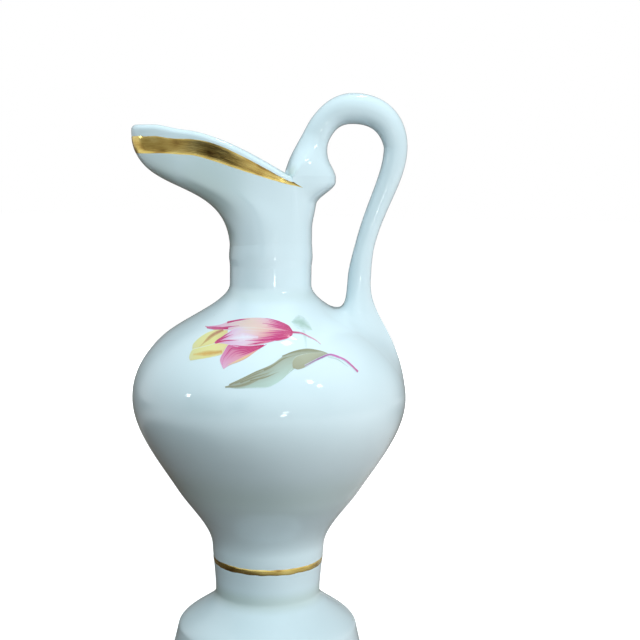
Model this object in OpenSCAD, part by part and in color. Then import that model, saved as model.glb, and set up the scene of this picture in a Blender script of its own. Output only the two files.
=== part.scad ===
// Small porcelain ewer: bell foot, round belly, beaked spout and a high loop handle.
// The cast pieces are joined with slip, then gilded and decorated with a printed flower.
// The spout points along -X, the handle along +X, and the flower faces -Y.

/* [Foot] */
// Radius of the foot where it stands on the table
foot_r = 23.4; // [21:0.1:28]
// Radius of the rounded shoulder of the foot
foot_shoulder_r = 19.9; // [17:0.1:21.5]
// Height of the shoulder of the foot above the table
foot_shoulder_h = 12.4; // [9:0.1:20]
// Rise from the shoulder of the foot to the narrowest place of the waist
foot_top_h = 7.9; // [6.5:0.1:12]
// Wall of the foot
foot_wall = 2.4; // [1.6:0.1:3.2]
// Thickness of the closed top of the foot
foot_lid_t = 3; // [2:0.1:5]
// Rounding of the outer edge that stands on the table
foot_edge_r = 0.8; // [0.3:0.1:1.4]

/* [Waist] */
// Radius of the waist at its narrowest place
waist_r = 11.6; // [10:0.1:13]
// Rise from the narrowest place to the joint of foot and body
waist_joint_h = 7.4; // [4:0.1:9]
// Radius at the top of the stem, where the belly starts to flare
stem_r = 12.4; // [11:0.1:14]
// Rise from the narrowest place to the top of the stem
stem_h = 10.5; // [10:0.1:14]

/* [Body] */
// Radius half way up the lower belly
lower_belly_r = 20.4; // [18:0.1:23]
// Rise from the top of the stem to half way up the lower belly
lower_belly_h = 13.3; // [11:0.1:16]
// Radius of the belly at its widest place
belly_r = 30; // [27:0.1:34]
// Rise from half way up the lower belly to the widest place
belly_h = 20.1; // [17:0.1:24]
// Radius of the shoulder
shoulder_r = 23.3; // [21:0.1:25]
// Rise from the widest place to the shoulder
shoulder_h = 13.3; // [11.5:0.1:16]
// Outer radius of the neck
neck_r = 8.9; // [8:0.1:10.5]
// Rise from the shoulder to the foot of the neck
neck_foot_h = 11.4; // [10:0.1:14]
// Straight neck below the joint of body and spout
neck_h = 5.4; // [3:0.1:10]
// Wall of the body
body_wall = 2.2; // [1.6:0.1:3]
// Thickness of the floor inside the body
floor_t = 3; // [2:0.1:5]

/* [Spout] */
// Straight collar of the spout above the joint
spout_collar_h = 1.6; // [1.4:0.1:4]
// Height of the rim at its back, above the joint
rim_back_h = 18.1; // [16:0.1:24]
// Rise of the rim from its back to the sides of the beak
rim_rise = 9.4; // [7:0.1:12]
// Further rise of the rim from the sides of the beak to its tip
tip_rise = 1.1; // [0.4:0.1:2]
// Reach of the tip from the axis
spout_reach = 30.3; // [24:0.1:36]
// Share of the width that the beak loses towards its tip
beak_taper = 0.36; // [0.15:0.01:0.4]
// Wall of the spout
spout_wall = 2.2; // [1.6:0.1:2.6]
// Width of the flat seat at the back of the rim, for the handle
seat_w = 5; // [4:0.1:5.6]

/* [Handle] */
// Distance from the axis to the middle of the handle where it stands on the rim
root_x = 8.3; // [7:0.1:10]
// Thickness of the root, from front to back
root_t = 10.8; // [8:0.1:11]
// Breadth of the root, across
root_b = 12; // [8:0.1:13]
// Rise of the middle of the loop above the seat
loop_rise = 14.6; // [12:0.1:20]
// Span of the loop from the root to the outer limb
loop_span = 18.4; // [15:0.1:22]
// Height above the seat at which the outer limb hangs straight down
limb_h = 6.4; // [3:0.1:8]
// Thickness of the rising arm above the root
arm_t = 5.7; // [4.5:0.1:7]
// Thickness of the handle at the crown of the loop
loop_t = 6.6; // [4.5:0.1:7]
// Thickness of the handle where it bends down
bend_t = 5.1; // [4.2:0.1:6.5]
// Thickness of the outer limb where it is thinnest
limb_t = 4.2; // [3.4:0.1:5.5]
// Distance from the axis to the limb where it comes down on the shoulder
tail_x = 19.2; // [17.5:0.1:21]
// Thickness of the limb just above the shoulder
tail_t = 5.4; // [4:0.1:6.5]
// Height of the flare of the handle's lower end above the shoulder
tail_flare_h = 6.3; // [5:0.1:8]
// How far the middle of the flared foot lies below the middle of the limb
tail_drop = 2.5; // [0:0.1:3.5]
// Length of the flared foot of the handle, measured up the shoulder
tail_foot_h = 14.3; // [10:0.1:16]
// Breadth of the flared foot of the handle
tail_foot_b = 9.4; // [7:0.1:11]
// How far the outer side of the flare stands off the shoulder, halfway down
tail_swell = 1.4; // [0:0.1:2.5]
// How far the nose of slip under the root stands out from the neck
nose_out = 5; // [3:0.1:6]
// Height of the nose of slip, with the film of slip wiped down the neck below it
nose_h = 11.6; // [9:0.1:13]

/* [Slip joints] */
// Thickness of a bed of slip
slip_t = 0.5; // [0.3:0.05:1]
// How far the ring of slip stands out from the neck
neck_bead_t = 0.25; // [0.15:0.05:0.6]
// Height of the ring of slip on the neck
neck_bead_h = 2.4; // [1.6:0.1:2.6]

/* [Gilding and print] */
// Thickness of the gold and of the printed colour
film_t = 0.12; // [0.08:0.01:0.3]
// Air left under a film or a bed of slip that lies on a curved wall
film_gap = 0.03; // [0.02:0.01:0.06]
// Width of the gold line at the waist
gold_line_w = 1.3; // [0.8:0.1:2.5]
// Width of the gold band at the beak
gold_band_w = 3.3; // [2:0.1:4.5]
// Width to which the gold band thins out towards the handle
gold_end_w = 0.4; // [0.3:0.1:1]
// Bare rim above the gold band at the beak
gold_drop = 2.8; // [1.5:0.1:3.4]
// Height of the middle of the flower above the widest place of the belly
print_rise = 13; // [9:0.1:14]
// Sideways place of the middle of the flower
print_x = 0; // [-6:0.1:6]
// Length of the flower spray, from the petal tips to the end of the stalk
print_l = 34.5; // [24:0.5:38]

/* [Hidden] */
$fn = 96;

porcelain = [0.87, 0.93, 0.95];
slip_white = [0.84, 0.90, 0.92];
gold = [0.78, 0.60, 0.24];
pink = [0.84, 0.33, 0.54];
yellow = [0.90, 0.80, 0.40];
leaf_green = [0.62, 0.64, 0.53];

// Heights of the stations of the outline, from the table upwards
waist_z = foot_shoulder_h + foot_top_h;
stem_z = waist_z + stem_h;
lower_belly_z = stem_z + lower_belly_h;
belly_z = lower_belly_z + belly_h;
shoulder_z = belly_z + shoulder_h;
neck_z = shoulder_z + neck_foot_h;
foot_joint_z = waist_z + waist_joint_h;
neck_joint_z = neck_z + neck_h;
seat_z = neck_joint_z + rim_back_h;

// Slopes of the outline: how much the radius grows for each millimetre of height
foot_edge_slope = -0.4;
foot_shoulder_slope = -0.22;
stem_slope = 0.06;
lower_belly_slope = 0.64;
shoulder_slope = -1.1;

// Stations of the outline: height, radius and slope
STATIONS = [
  [0, foot_r, foot_edge_slope],
  [foot_shoulder_h, foot_shoulder_r, foot_shoulder_slope],
  [waist_z, waist_r, 0],
  [stem_z, stem_r, stem_slope],
  [lower_belly_z, lower_belly_r, lower_belly_slope],
  [belly_z, belly_r, 0],
  [shoulder_z, shoulder_r, shoulder_slope],
  [neck_z, neck_r, 0],
  [seat_z, neck_r, 0]
];

foot_steps = 26;
body_steps = 44;
line_steps = 4;
bead_steps = 8;
ring_sides = 60;
handle_sides = 20;
handle_angles = [for (i = [0:handle_sides - 1]) 360 * i / handle_sides];

// Curves shared by the pieces
function smooth(t) = let (s = min(1, max(0, t))) s * s * (3 - 2 * s);
function blend(a, b, t) = a + (b - a) * t;
function unit(v) = v / norm(v);
function bezier(p, t) =
  p[0] * pow(1 - t, 3) + p[1] * 3 * t * pow(1 - t, 2) + p[2] * 3 * t * t * (1 - t) + p[3] * pow(t, 3);

// Outline of the turned pieces: radius at a height, and the slope there
function hermite(a, b, t) =
  let (h = b[0] - a[0])
  (2 * pow(t, 3) - 3 * t * t + 1) * a[1] + (pow(t, 3) - 2 * t * t + t) * h * a[2]
  + (3 * t * t - 2 * pow(t, 3)) * b[1] + (pow(t, 3) - t * t) * h * b[2];
function station_below(z, k = 0) =
  k >= len(STATIONS) - 2 || STATIONS[k + 1][0] >= z ? k : station_below(z, k + 1);
function outline_r(z) =
  let (k = station_below(z), a = STATIONS[k], b = STATIONS[k + 1])
  hermite(a, b, (z - a[0]) / (b[0] - a[0]));
slope_step = 0.05;
function outline_slope(z) = (outline_r(z + slope_step) - outline_r(z - slope_step)) / (2 * slope_step);
// Radius of the inner face of a wall of even thickness
function inside_r(z, wall) = outline_r(z) - wall * sqrt(1 + pow(outline_slope(z), 2));
function outer_run(z0, z1, steps) =
  [for (i = [0:steps]) let (z = blend(z0, z1, i / steps)) [outline_r(z), z]];
function inner_run(z0, z1, steps, wall) =
  [for (i = [0:steps]) let (z = blend(z0, z1, i / steps)) [inside_r(z, wall), z]];

// Point on the turned wall, lifted off it, for a height and a distance y from the middle plane
function on_wall(z, y, lift, side) =
  let (
    slope = outline_slope(z),
    steep = sqrt(1 + slope * slope),
    r = outline_r(z) + lift / steep
  )
  side == "back" ? [sqrt(r * r - y * y), y, z - lift * slope / steep]
  : [y, -sqrt(r * r - y * y), z - lift * slope / steep];

// Closed solid from rings of equally many points, each end filled by a fan round its own middle
function ring_faces(rings, n) = [
  for (j = [0:rings - 2], i = [0:n - 1])
    let (a = j * n + i, b = j * n + (i + 1) % n)
    each [[a, b + n, b], [a, a + n, b + n]]
];
module ring_solid(rings, first_middle, last_middle) {
  n = len(rings[0]);
  total = len(rings) * n;
  points = concat([for (ring = rings) each ring], [first_middle, last_middle]);
  first_fan = [for (i = [0:n - 1]) [i, (i + 1) % n, total]];
  last_fan = [for (i = [0:n - 1]) [total - n + (i + 1) % n, total - n + i, total + 1]];
  polyhedron(points, concat(ring_faces(len(rings), n), first_fan, last_fan));
}

// Thin closed sheet between a lower and an upper grid of points with equal rows
module sheet_solid(lower, upper) {
  rows = len(lower);
  n = len(lower[0]);
  total = rows * n;
  points = concat([for (row = lower) each row], [for (row = upper) each row]);
  flat = [
    for (j = [0:rows - 2], i = [0:n - 2])
      let (a = j * n + i, b = a + n)
      each [[a, a + 1, b + 1], [a, b + 1, b]]
  ];
  rim = concat(
    [for (i = [0:n - 2]) [i + 1, i]],
    [for (j = [0:rows - 2]) [j * n, (j + 1) * n]],
    [for (i = [0:n - 2]) [(rows - 1) * n + i, (rows - 1) * n + i + 1]],
    [for (j = [0:rows - 2]) [(j + 1) * n + n - 1, j * n + n - 1]]
  );
  faces = concat(
    flat,
    [for (f = flat) [f[2] + total, f[1] + total, f[0] + total]],
    [for (e = rim) each [[e[0], e[1], e[1] + total], [e[0], e[1] + total, e[0] + total]]]
  );
  polyhedron(points, faces);
}

// Foot: a bell, hollow underneath, with a closed top
module foot() {
  top = foot_joint_z - slip_t / 2;
  color(porcelain)
    rotate_extrude()
      polygon(concat(
        [[inside_r(0, foot_wall), 0], [foot_r - foot_edge_r, 0]],
        outer_run(foot_edge_r, top, foot_steps),
        [[0, top], [0, top - foot_lid_t]],
        inner_run(top - foot_lid_t, foot_edge_r, foot_steps, foot_wall)
      ));
}

// Bed of slip between foot and body
module foot_slip() {
  low = foot_joint_z - slip_t / 2;
  high = foot_joint_z + slip_t / 2;
  color(slip_white)
    rotate_extrude()
      polygon(concat([[0, low]], outer_run(low, high, 1), [[0, high]]));
}

// Gold line, painted over the joint at the waist
module waist_gilding() {
  low = foot_joint_z - gold_line_w / 2;
  high = foot_joint_z + gold_line_w / 2;
  color(gold)
    rotate_extrude()
      difference() {
        polygon(concat(
          [[0, low]],
          [for (p = outer_run(low, high, line_steps)) p + [film_t, 0]],
          [[0, high]]
        ));
        polygon(concat(
          [[0, low - gold_line_w]],
          outer_run(low - gold_line_w, high + gold_line_w, line_steps * 3),
          [[0, high + gold_line_w]]
        ));
      }
}

// Body: belly, shoulder and lower neck, hollow, with a closed floor
module body() {
  bottom = foot_joint_z + slip_t / 2;
  top = neck_joint_z - slip_t / 2;
  color(porcelain)
    rotate_extrude()
      polygon(concat(
        [[0, bottom]],
        outer_run(bottom, top, body_steps),
        inner_run(top, bottom + floor_t, body_steps, body_wall),
        [[0, bottom + floor_t]]
      ));
}

// Ring of slip between body and spout, which stands out from the neck as a soft bead
module neck_slip() {
  bead = [
    for (i = [0:bead_steps])
      let (s = blend(-1, 1, i / bead_steps))
      [neck_r + neck_bead_t * pow(cos(90 * s), 2), neck_joint_z + s * neck_bead_h / 2]
  ];
  low = neck_joint_z - slip_t / 2;
  high = neck_joint_z + slip_t / 2;
  color(slip_white)
    rotate_extrude()
      polygon(concat(
        [[neck_r - body_wall, low], [neck_r, low]],
        bead,
        [[neck_r, high], [neck_r - body_wall, high]]
      ));
}

// Spout: each line up the wall starts on the neck, swings out towards the tip and ends on the rim
collar_bottom_z = neck_joint_z + slip_t / 2;
collar_top_z = neck_joint_z + spout_collar_h;
// The back of the neck stays round up to this angle from the handle
round_back_angle = 54;
// Angles between which the rim climbs to the sides of the beak, and then to its tip
rim_climb_start_angle = 56;
rim_climb_end_angle = 116;
tip_climb_start_angle = 112;
tip_climb_end_angle = 133;
// The seat for the handle gives way to the rounded lip from this angle on
seat_half_angle = 36;
// Shares of the height over which the wall leaves the neck and meets the rim upright
neck_hold = 0.67;
lip_hold = 0.59;

// How far the wall is drawn towards the tip, from 0 at the back to 1 at the beak
function draw_out(a) =
  let (back = 1 - cos(round_back_angle))
  smooth((1 - cos(a) - back) / (2 - back));
function seat_share(a) = 1 - climb(a, seat_half_angle, round_back_angle);
function climb(a, from, to) = smooth((abs(a) - from) / (to - from));
function rim_z(a) =
  seat_z + rim_rise * climb(a, rim_climb_start_angle, rim_climb_end_angle)
  + tip_rise * climb(a, tip_climb_start_angle, tip_climb_end_angle);
function lip_h(a) = spout_wall / 2 * (1 - seat_share(a));
function spout_point(a, t) =
  let (
    d = draw_out(a),
    low = [neck_r * cos(a), neck_r * sin(a), collar_top_z],
    high = [
      neck_r * cos(a) - (spout_reach - neck_r) * d,
      neck_r * sin(a) * (1 - beak_taper * d),
      rim_z(a) - lip_h(a)
    ],
    h = high[2] - low[2]
  )
  bezier([low, low + [0, 0, neck_hold * h], high - [0, 0, lip_hold * h], high], t);
// Outward direction of the wall
angle_step = 1;
share_step = 0.01;
function spout_normal(a, t) =
  let (
    around = spout_point(a + angle_step, t) - spout_point(a - angle_step, t),
    upward = spout_point(a, min(1, t + share_step)) - spout_point(a, max(0, t - share_step))
  )
  unit(cross(around, upward));
// Share of the way up the wall at which it reaches a height, found by halving
function share_at(a, z, t0 = 0, t1 = 1, n = 22) =
  let (m = (t0 + t1) / 2)
  n == 0 ? m : spout_point(a, m)[2] < z ? share_at(a, z, m, t1, n - 1) : share_at(a, z, t0, m, n - 1);
// Wall, thickened under the seat of the handle
seat_depth = 8;
function spout_wall_at(a, t) =
  let (under = rim_z(a) - spout_point(a, t)[2])
  blend(spout_wall, seat_w, seat_share(a) * (1 - smooth(under / seat_depth)));
function spout_inner(a, t) = spout_point(a, t) - spout_normal(a, t) * spout_wall_at(a, t);

// Gold band: its upper and lower edge below the rim, thinning out towards the handle
gold_end_angle = 55;
gold_full_angle = 105;
gold_drop_angle = 140;
gold_lip_gap = 0.9;
function gold_top_z(a) =
  rim_z(a) - blend(spout_wall / 2 + gold_lip_gap, gold_drop, climb(a, round_back_angle, gold_drop_angle));
function gold_low_z(a) =
  gold_top_z(a) - blend(gold_end_w, gold_band_w, climb(a, gold_end_angle, gold_full_angle));

plain_rows = 14;
band_rows = 3;
lip_rows = 6;
inner_rows = 12;
spout_angles = [for (i = [0:ring_sides - 1]) 360 * i / ring_sides - 180];
function band_share(a, k) = share_at(a, blend(gold_low_z(a), gold_top_z(a), k / band_rows));
function lip_point(a, k) =
  let (
    n = spout_normal(a, 1),
    wall = spout_wall_at(a, 1),
    turn = 180 * k / (lip_rows + 1),
    middle = spout_point(a, 1) - n * wall / 2
  )
  middle + n * wall / 2 * cos(turn) + [0, 0, lip_h(a) * sin(turn)];
module spout() {
  rings = concat(
    [[for (a = spout_angles) [neck_r * cos(a), neck_r * sin(a), collar_bottom_z]]],
    [for (j = [0:plain_rows - 1]) [for (a = spout_angles) spout_point(a, band_share(a, 0) * j / plain_rows)]],
    [for (k = [0:band_rows]) [for (a = spout_angles) spout_point(a, band_share(a, k))]],
    [[for (a = spout_angles) spout_point(a, 1)]],
    [for (k = [1:lip_rows]) [for (a = spout_angles) lip_point(a, k)]],
    [for (j = [0:inner_rows]) [for (a = spout_angles) spout_inner(a, 1 - j / inner_rows)]],
    [[for (a = spout_angles) let (r = neck_r - spout_wall) [r * cos(a), r * sin(a), collar_bottom_z]]]
  );
  n = ring_sides;
  count = len(rings);
  closing = [
    for (i = [0:n - 1])
      let (a = (count - 1) * n + i, b = (count - 1) * n + (i + 1) % n, c = i, d = (i + 1) % n)
      each [[a, d, b], [a, c, d]]
  ];
  color(porcelain)
    polyhedron([for (ring = rings) each ring], concat(ring_faces(count, n), closing));
}

// Gold band under the rim, from one side of the handle round the beak to the other
module rim_gilding() {
  angles = [for (a = spout_angles) if (abs(a) > gold_end_angle) a];
  around = concat([for (a = angles) if (a > 0) a], [for (a = angles) if (a < 0) a]);
  lower = [for (k = [0:band_rows]) [for (a = around) spout_point(a, band_share(a, k))]];
  upper = [
    for (k = [0:band_rows])
      [for (a = around) let (t = band_share(a, k)) spout_point(a, t) + spout_normal(a, t) * film_t]
  ];
  color(gold)
    sheet_solid(lower, upper);
}

// Nose of slip behind the neck, under the root of the handle
nose_half_angle = 54;
nose_rows = 14;
nose_edge_t = 0.12;
// Share of the nose's reach in the wiped film, and shares of its height over which film and bulge swell
wipe_share = 0.18;
wipe_end = 0.6;
bulge_start = 0.48;
bulge_end = 0.9;
function nose_swell(s) =
  wipe_share * smooth(s / wipe_end)
  + (1 - wipe_share) * smooth((s - bulge_start) / (bulge_end - bulge_start));
module handle_root_slip() {
  nose_angles = [for (a = spout_angles) if (abs(a) <= nose_half_angle) a];
  function nose_r(a, s) =
    neck_r + max(nose_edge_t, nose_out * nose_swell(s) * pow(cos(90 * a / nose_half_angle), 2));
  inner = [
    for (j = [0:nose_rows])
      [for (a = nose_angles) [neck_r * cos(a), neck_r * sin(a), seat_z - nose_h * (1 - j / nose_rows)]]
  ];
  outer = [
    for (j = [0:nose_rows])
      let (s = j / nose_rows)
      [for (a = nose_angles) [nose_r(a, s) * cos(a), nose_r(a, s) * sin(a), seat_z - nose_h * (1 - s)]]
  ];
  color(slip_white)
    sheet_solid(inner, outer);
}

// Handle: its middle line rises from the seat, loops over and hangs down to the shoulder
function shoulder_height(r, z0 = belly_z, z1 = neck_z, n = 24) =
  let (m = (z0 + z1) / 2)
  n == 0 ? m : outline_r(m) > r ? shoulder_height(r, m, z1, n - 1) : shoulder_height(r, z0, m, n - 1);
limb_x = root_x + loop_span;
loop_z = seat_z + loop_rise;
tail_z = shoulder_height(tail_x) + tail_flare_h;
limb_drop = seat_z + limb_h - tail_z;
// Shares of a stretch over which the middle line holds its direction, at its lower and upper end
root_hold = 0.2;
crown_hold_in = 0.88;
crown_hold_out = 0.95;
bend_hold = 0.05;
limb_hold = 0.27;
tail_hold = 0.51;
root_lean = 0.95;
crown_x = root_x + loop_span / 2;
limb_z = seat_z + limb_h;
// Control points of the three stretches of the middle line, x and z
rise_line = [
  [root_x, seat_z],
  [root_x - root_lean, seat_z + root_hold * loop_rise],
  [crown_x - crown_hold_in * loop_span / 2, loop_z],
  [crown_x, loop_z]
];
over_line = [
  [crown_x, loop_z],
  [crown_x + crown_hold_out * loop_span / 2, loop_z],
  [limb_x, limb_z + bend_hold * (loop_z - limb_z)],
  [limb_x, limb_z]
];
limb_line = [
  [limb_x, limb_z],
  [limb_x, limb_z - limb_hold * limb_drop],
  [tail_x, tail_z + tail_hold * limb_drop],
  [tail_x, tail_z]
];
rise_rings = 12;
over_rings = 10;
limb_rings = 16;
flare_rings = 8;
cap_rings = 2;
// Half thickness in the plane of the loop, and half breadth across it, along each stretch
root_end = 0.54;
arm_end = 0.66;
limb_thin_at = 0.72;
function crown_gain(t) = (loop_t - arm_t) * smooth((t - arm_end) / (1 - arm_end));
function rise_half(t) = (blend(root_t, arm_t, smooth(t / root_end)) + crown_gain(t)) / 2;
function rise_breadth(t) = (blend(root_b, arm_t, smooth(t / root_end)) + crown_gain(t)) / 2;
function over_half(t) = blend(loop_t, bend_t, smooth(t)) / 2;
function limb_half(t) =
  t < limb_thin_at ? blend(bend_t, limb_t, smooth(t / limb_thin_at)) / 2
  : blend(limb_t, tail_t, smooth((t - limb_thin_at) / (1 - limb_thin_at))) / 2;
function limb_breadth(t) =
  blend(limb_half(t), (limb_t + tail_t) / 4, smooth((t - limb_thin_at) / (1 - limb_thin_at)));
function line_direction(line, t) =
  unit(bezier(line, min(1, t + share_step)) - bezier(line, max(0, t - share_step)));
function ring_round(m, d, half, breadth) =
  let (across = [d[1], -d[0]])
  [for (q = handle_angles) let (p = m + across * half * cos(q)) [p[0], breadth * sin(q), p[1]]];
function handle_ring(line, t, half, breadth) =
  ring_round(bezier(line, t), line_direction(line, t), half, breadth);
// The rings lie level on the seat, and turn square to the middle line over this share of the rise
level_end = 0.3;
function rise_ring(t) =
  let (d = unit(blend([0, 1], line_direction(rise_line, t), smooth(t / level_end))))
  ring_round(bezier(rise_line, t), d, rise_half(t), rise_breadth(t));
// Foot of the handle on the shoulder: q runs round it, grow shrinks it to its middle
tail_mid_z = shoulder_height(tail_x) - tail_drop;
function tail_point(q, grow, lift) =
  on_wall(tail_mid_z + grow * tail_foot_h / 2 * cos(q), grow * tail_foot_b / 2 * sin(q), lift, "back");
tail_lift = film_gap + slip_t;
flare_hold = 0.31;
flare_spread = 0.5;
function flare_lift(q) = tail_lift + tail_swell * (1 - cos(q)) / 2;
function flare_ring(s) =
  let (top = handle_ring(limb_line, 1, limb_half(1), limb_breadth(1)))
  [
    for (i = [0:handle_sides - 1])
      let (q = handle_angles[i])
      bezier([
        top[i], top[i] - [0, 0, tail_flare_h * flare_hold],
        tail_point(q, flare_spread, flare_lift(q)), tail_point(q, 1, tail_lift)
      ], s)
  ];
module handle() {
  rings = concat(
    [for (k = [0:rise_rings - 1]) rise_ring(k / rise_rings)],
    [for (k = [0:over_rings - 1])
      let (t = k / over_rings) handle_ring(over_line, t, over_half(t), over_half(t))],
    [for (k = [0:limb_rings])
      let (t = k / limb_rings) handle_ring(limb_line, t, limb_half(t), limb_breadth(t))],
    [for (k = [1:flare_rings]) flare_ring(k / flare_rings)],
    [for (k = [1:cap_rings])
      [for (q = handle_angles) tail_point(q, 1 - k / (cap_rings + 1), tail_lift)]]
  );
  color(porcelain)
    ring_solid(rings, [root_x, 0, seat_z], tail_point(0, 0, tail_lift));
}

// Bed of slip between the foot of the handle and the shoulder
slip_rings = 3;
module handle_tail_slip() {
  function slip_ring(grow, lift) = [for (q = handle_angles) tail_point(q, grow, lift)];
  rings = concat(
    [for (k = [1:slip_rings]) slip_ring(k / slip_rings, tail_lift)],
    [for (k = [slip_rings:-1:1]) slip_ring(k / slip_rings, film_gap)]
  );
  color(slip_white)
    ring_solid(rings, tail_point(0, 0, tail_lift), tail_point(0, 0, film_gap));
}

// Printed flower: each petal, leaf and stem is a strip along its own bent middle line
print_z = belly_z + print_rise;
print_design_l = 34.5;
print_scale = print_l / print_design_l;
strip_steps = 12;
strip_sides = 4;
// Place on the design, in millimetres from its middle, to a place on the belly
function design_point(p, lift) =
  on_wall(print_z + p[1] * print_scale, print_x + p[0] * print_scale, lift, "front");
function strip_middle(s, t) = s[0] * pow(1 - t, 2) + s[1] * 2 * t * (1 - t) + s[2] * t * t;
function strip_side(s, t) =
  let (d = unit(strip_middle(s, min(1, t + share_step)) - strip_middle(s, max(0, t - share_step))))
  [-d[1], d[0]];
// Half width along a strip: s[3] at the fullest, s[4] says how far along that is
strip_end_w = 0.12;
function strip_half(s, t) =
  let (u = t < s[4] ? t / s[4] : (1 - t) / (1 - s[4])) max(strip_end_w, s[3] * sqrt(1 - pow(1 - u, 2)));
module strip(s) {
  function row(t, lift) = [
    for (i = [0:strip_sides])
      let (across = blend(1, -1, i / strip_sides))
      design_point(strip_middle(s, t) + strip_side(s, t) * strip_half(s, t) * across, lift)
  ];
  lower = [for (k = [0:strip_steps]) row(k / strip_steps, film_gap)];
  upper = [for (k = [0:strip_steps]) row(k / strip_steps, film_gap + film_t)];
  sheet_solid(lower, upper);
}

// Each strip: start, bend and end of its middle line, half width, place of the fullest width
PINK_STRIPS = [
  [[5.2, 4.2], [0.5, 5.7], [-12.6, 3.9], 1.05, 0.35],
  [[4.9, 2.7], [-1, 2.3], [-10.4, 1.3], 1.1, 0.45],
  [[0.6, 0.6], [-4.3, -0.1], [-8.6, -2.9], 0.9, 0.6],
  [[5.9, 3.4], [9, 3.4], [11.3, 1.3], 0.22, 0.5],
  [[12.3, -0.6], [15.8, 0.2], [18.6, -4.2], 0.24, 0.5]
];
YELLOW_STRIPS = [
  [[-10.6, 2.9], [-12.6, 2.6], [-15.2, 0.2], 0.75, 0.5],
  [[-8.9, -0.3], [-12, 0.3], [-15.6, -1.9], 0.85, 0.5]
];
leaf_half_w = 1.55;
GREEN_STRIPS = [
  [[11.6, -0.8], [3.4, 0.4], [-7.8, -6.4], leaf_half_w, 0.35]
];
module pink_print() {
  color(pink)
    for (s = PINK_STRIPS) strip(s);
}
module yellow_print() {
  color(yellow)
    for (s = YELLOW_STRIPS) strip(s);
}
module green_print() {
  color(leaf_green)
    for (s = GREEN_STRIPS) strip(s);
}

foot();
foot_slip();
body();
neck_slip();
spout();
handle_root_slip();
handle();
handle_tail_slip();
waist_gilding();
rim_gilding();
pink_print();
yellow_print();
green_print();
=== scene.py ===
"""Small porcelain ewer under one glossy glaze, with a gilded rim and waist and a printed tulip spray.

Lengths are in millimetres until a mesh is made; the frame and Blender are in metres.
The spout points along -X, the handle along +X and the flower faces -Y.
"""
from math import cos, hypot, pi, radians, sin, sqrt, tau

import bmesh
import bpy
from mathutils import Matrix, Vector, noise


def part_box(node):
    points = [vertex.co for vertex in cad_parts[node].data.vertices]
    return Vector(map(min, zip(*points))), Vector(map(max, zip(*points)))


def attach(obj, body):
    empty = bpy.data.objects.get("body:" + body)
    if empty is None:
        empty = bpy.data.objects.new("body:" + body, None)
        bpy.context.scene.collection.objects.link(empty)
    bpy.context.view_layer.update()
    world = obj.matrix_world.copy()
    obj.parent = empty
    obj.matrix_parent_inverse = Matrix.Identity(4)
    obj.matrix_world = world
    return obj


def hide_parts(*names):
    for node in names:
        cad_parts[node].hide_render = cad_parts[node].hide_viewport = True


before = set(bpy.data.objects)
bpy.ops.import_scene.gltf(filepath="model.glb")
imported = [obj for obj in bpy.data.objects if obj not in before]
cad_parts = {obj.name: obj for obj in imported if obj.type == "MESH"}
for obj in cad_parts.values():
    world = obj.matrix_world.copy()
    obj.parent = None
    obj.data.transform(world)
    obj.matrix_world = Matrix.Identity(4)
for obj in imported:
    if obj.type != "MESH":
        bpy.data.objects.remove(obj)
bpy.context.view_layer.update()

MM = 0.001


def low_high(node):
    """Lowest and highest corner of a CAD node, in millimetres."""
    low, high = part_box(node)
    return low / MM, high / MM


# Sizes that the frame gives
BODY_LOW, BODY_HIGH = low_high("body")
SPOUT_LOW, SPOUT_HIGH = low_high("spout")
NOSE_LOW, NOSE_HIGH = low_high("handle_root_slip")
BEAD_LOW, BEAD_HIGH = low_high("neck_slip")
LINE_LOW, LINE_HIGH = low_high("waist_gilding")
FOOT_TOP = low_high("foot")[1].z
HANDLE_TOP = low_high("handle")[1].z
BELLY_R = BODY_HIGH.x
NECK_R = SPOUT_HIGH.x
SEAT_Z = NOSE_HIGH.z
SPOUT_REACH = -SPOUT_LOW.x

# Foot and body
FOOT_R = 23.4
FOOT_WALL = 2.4
FOOT_LID_T = 3.0
FOOT_EDGE_R = 0.8
BODY_WALL = 2.2
FLOOR_T = 3.0
SHOULDER_Z = 77.5
NECK_FOOT_Z = 88.9
BELLY_Z = 64.2

# Outline of the turned pieces: height, radius, and growth of the radius for each millimetre of height
OUTLINE = [
    (0.0, FOOT_R, -0.4),
    (12.4, 19.9, -0.22),
    (20.3, 11.6, 0.0),
    (30.8, 12.4, 0.06),
    (44.1, 20.4, 0.64),
    (BELLY_Z, BELLY_R, 0.0),
    (SHOULDER_Z, 23.3, -1.1),
    (NECK_FOOT_Z, NECK_R, 0.0),
    (SEAT_Z, NECK_R, 0.0),
]

# Spout; angles are counted from the handle, in degrees
COLLAR_H = 1.35
SPOUT_WALL = 2.2
SEAT_W = 5.0
SEAT_DEPTH = 8.0
BEAK_TAPER = 0.36
TIP_RISE = 1.1
RIM_RISE = SPOUT_HIGH.z - SEAT_Z - TIP_RISE
SEAT_HALF_ANGLE = 36
ROUND_BACK_ANGLE = 54
RIM_CLIMB = (56, 116)
TIP_CLIMB = (112, 133)
NECK_HOLD = 0.67
LIP_HOLD = 0.59

# Handle: T is its thickness in the plane of the loop, X and Z place its middle line
ROOT_X = 8.3
ROOT_T = 10.8
ARM_T = 5.7
LOOP_T = 6.6
BEND_T = 5.1
LIMB_T = 4.2
TAIL_T = 5.4
TAIL_X = 19.2
TAIL_FLARE_H = 6.3
TAIL_DROP = 2.5
TAIL_FOOT_H = 14.3
TAIL_FOOT_B = 9.4
LOOP_SPAN = 18.4
LIMB_X = ROOT_X + LOOP_SPAN
CROWN_X = ROOT_X + LOOP_SPAN / 2
LOOP_Z = HANDLE_TOP - LOOP_T / 2
LIMB_Z = SEAT_Z + 6.4
NOSE_OUT = NOSE_HIGH.x - NECK_R
NOSE_H = SEAT_Z - NOSE_LOW.z
NOSE_HALF_ANGLE = 54

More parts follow.
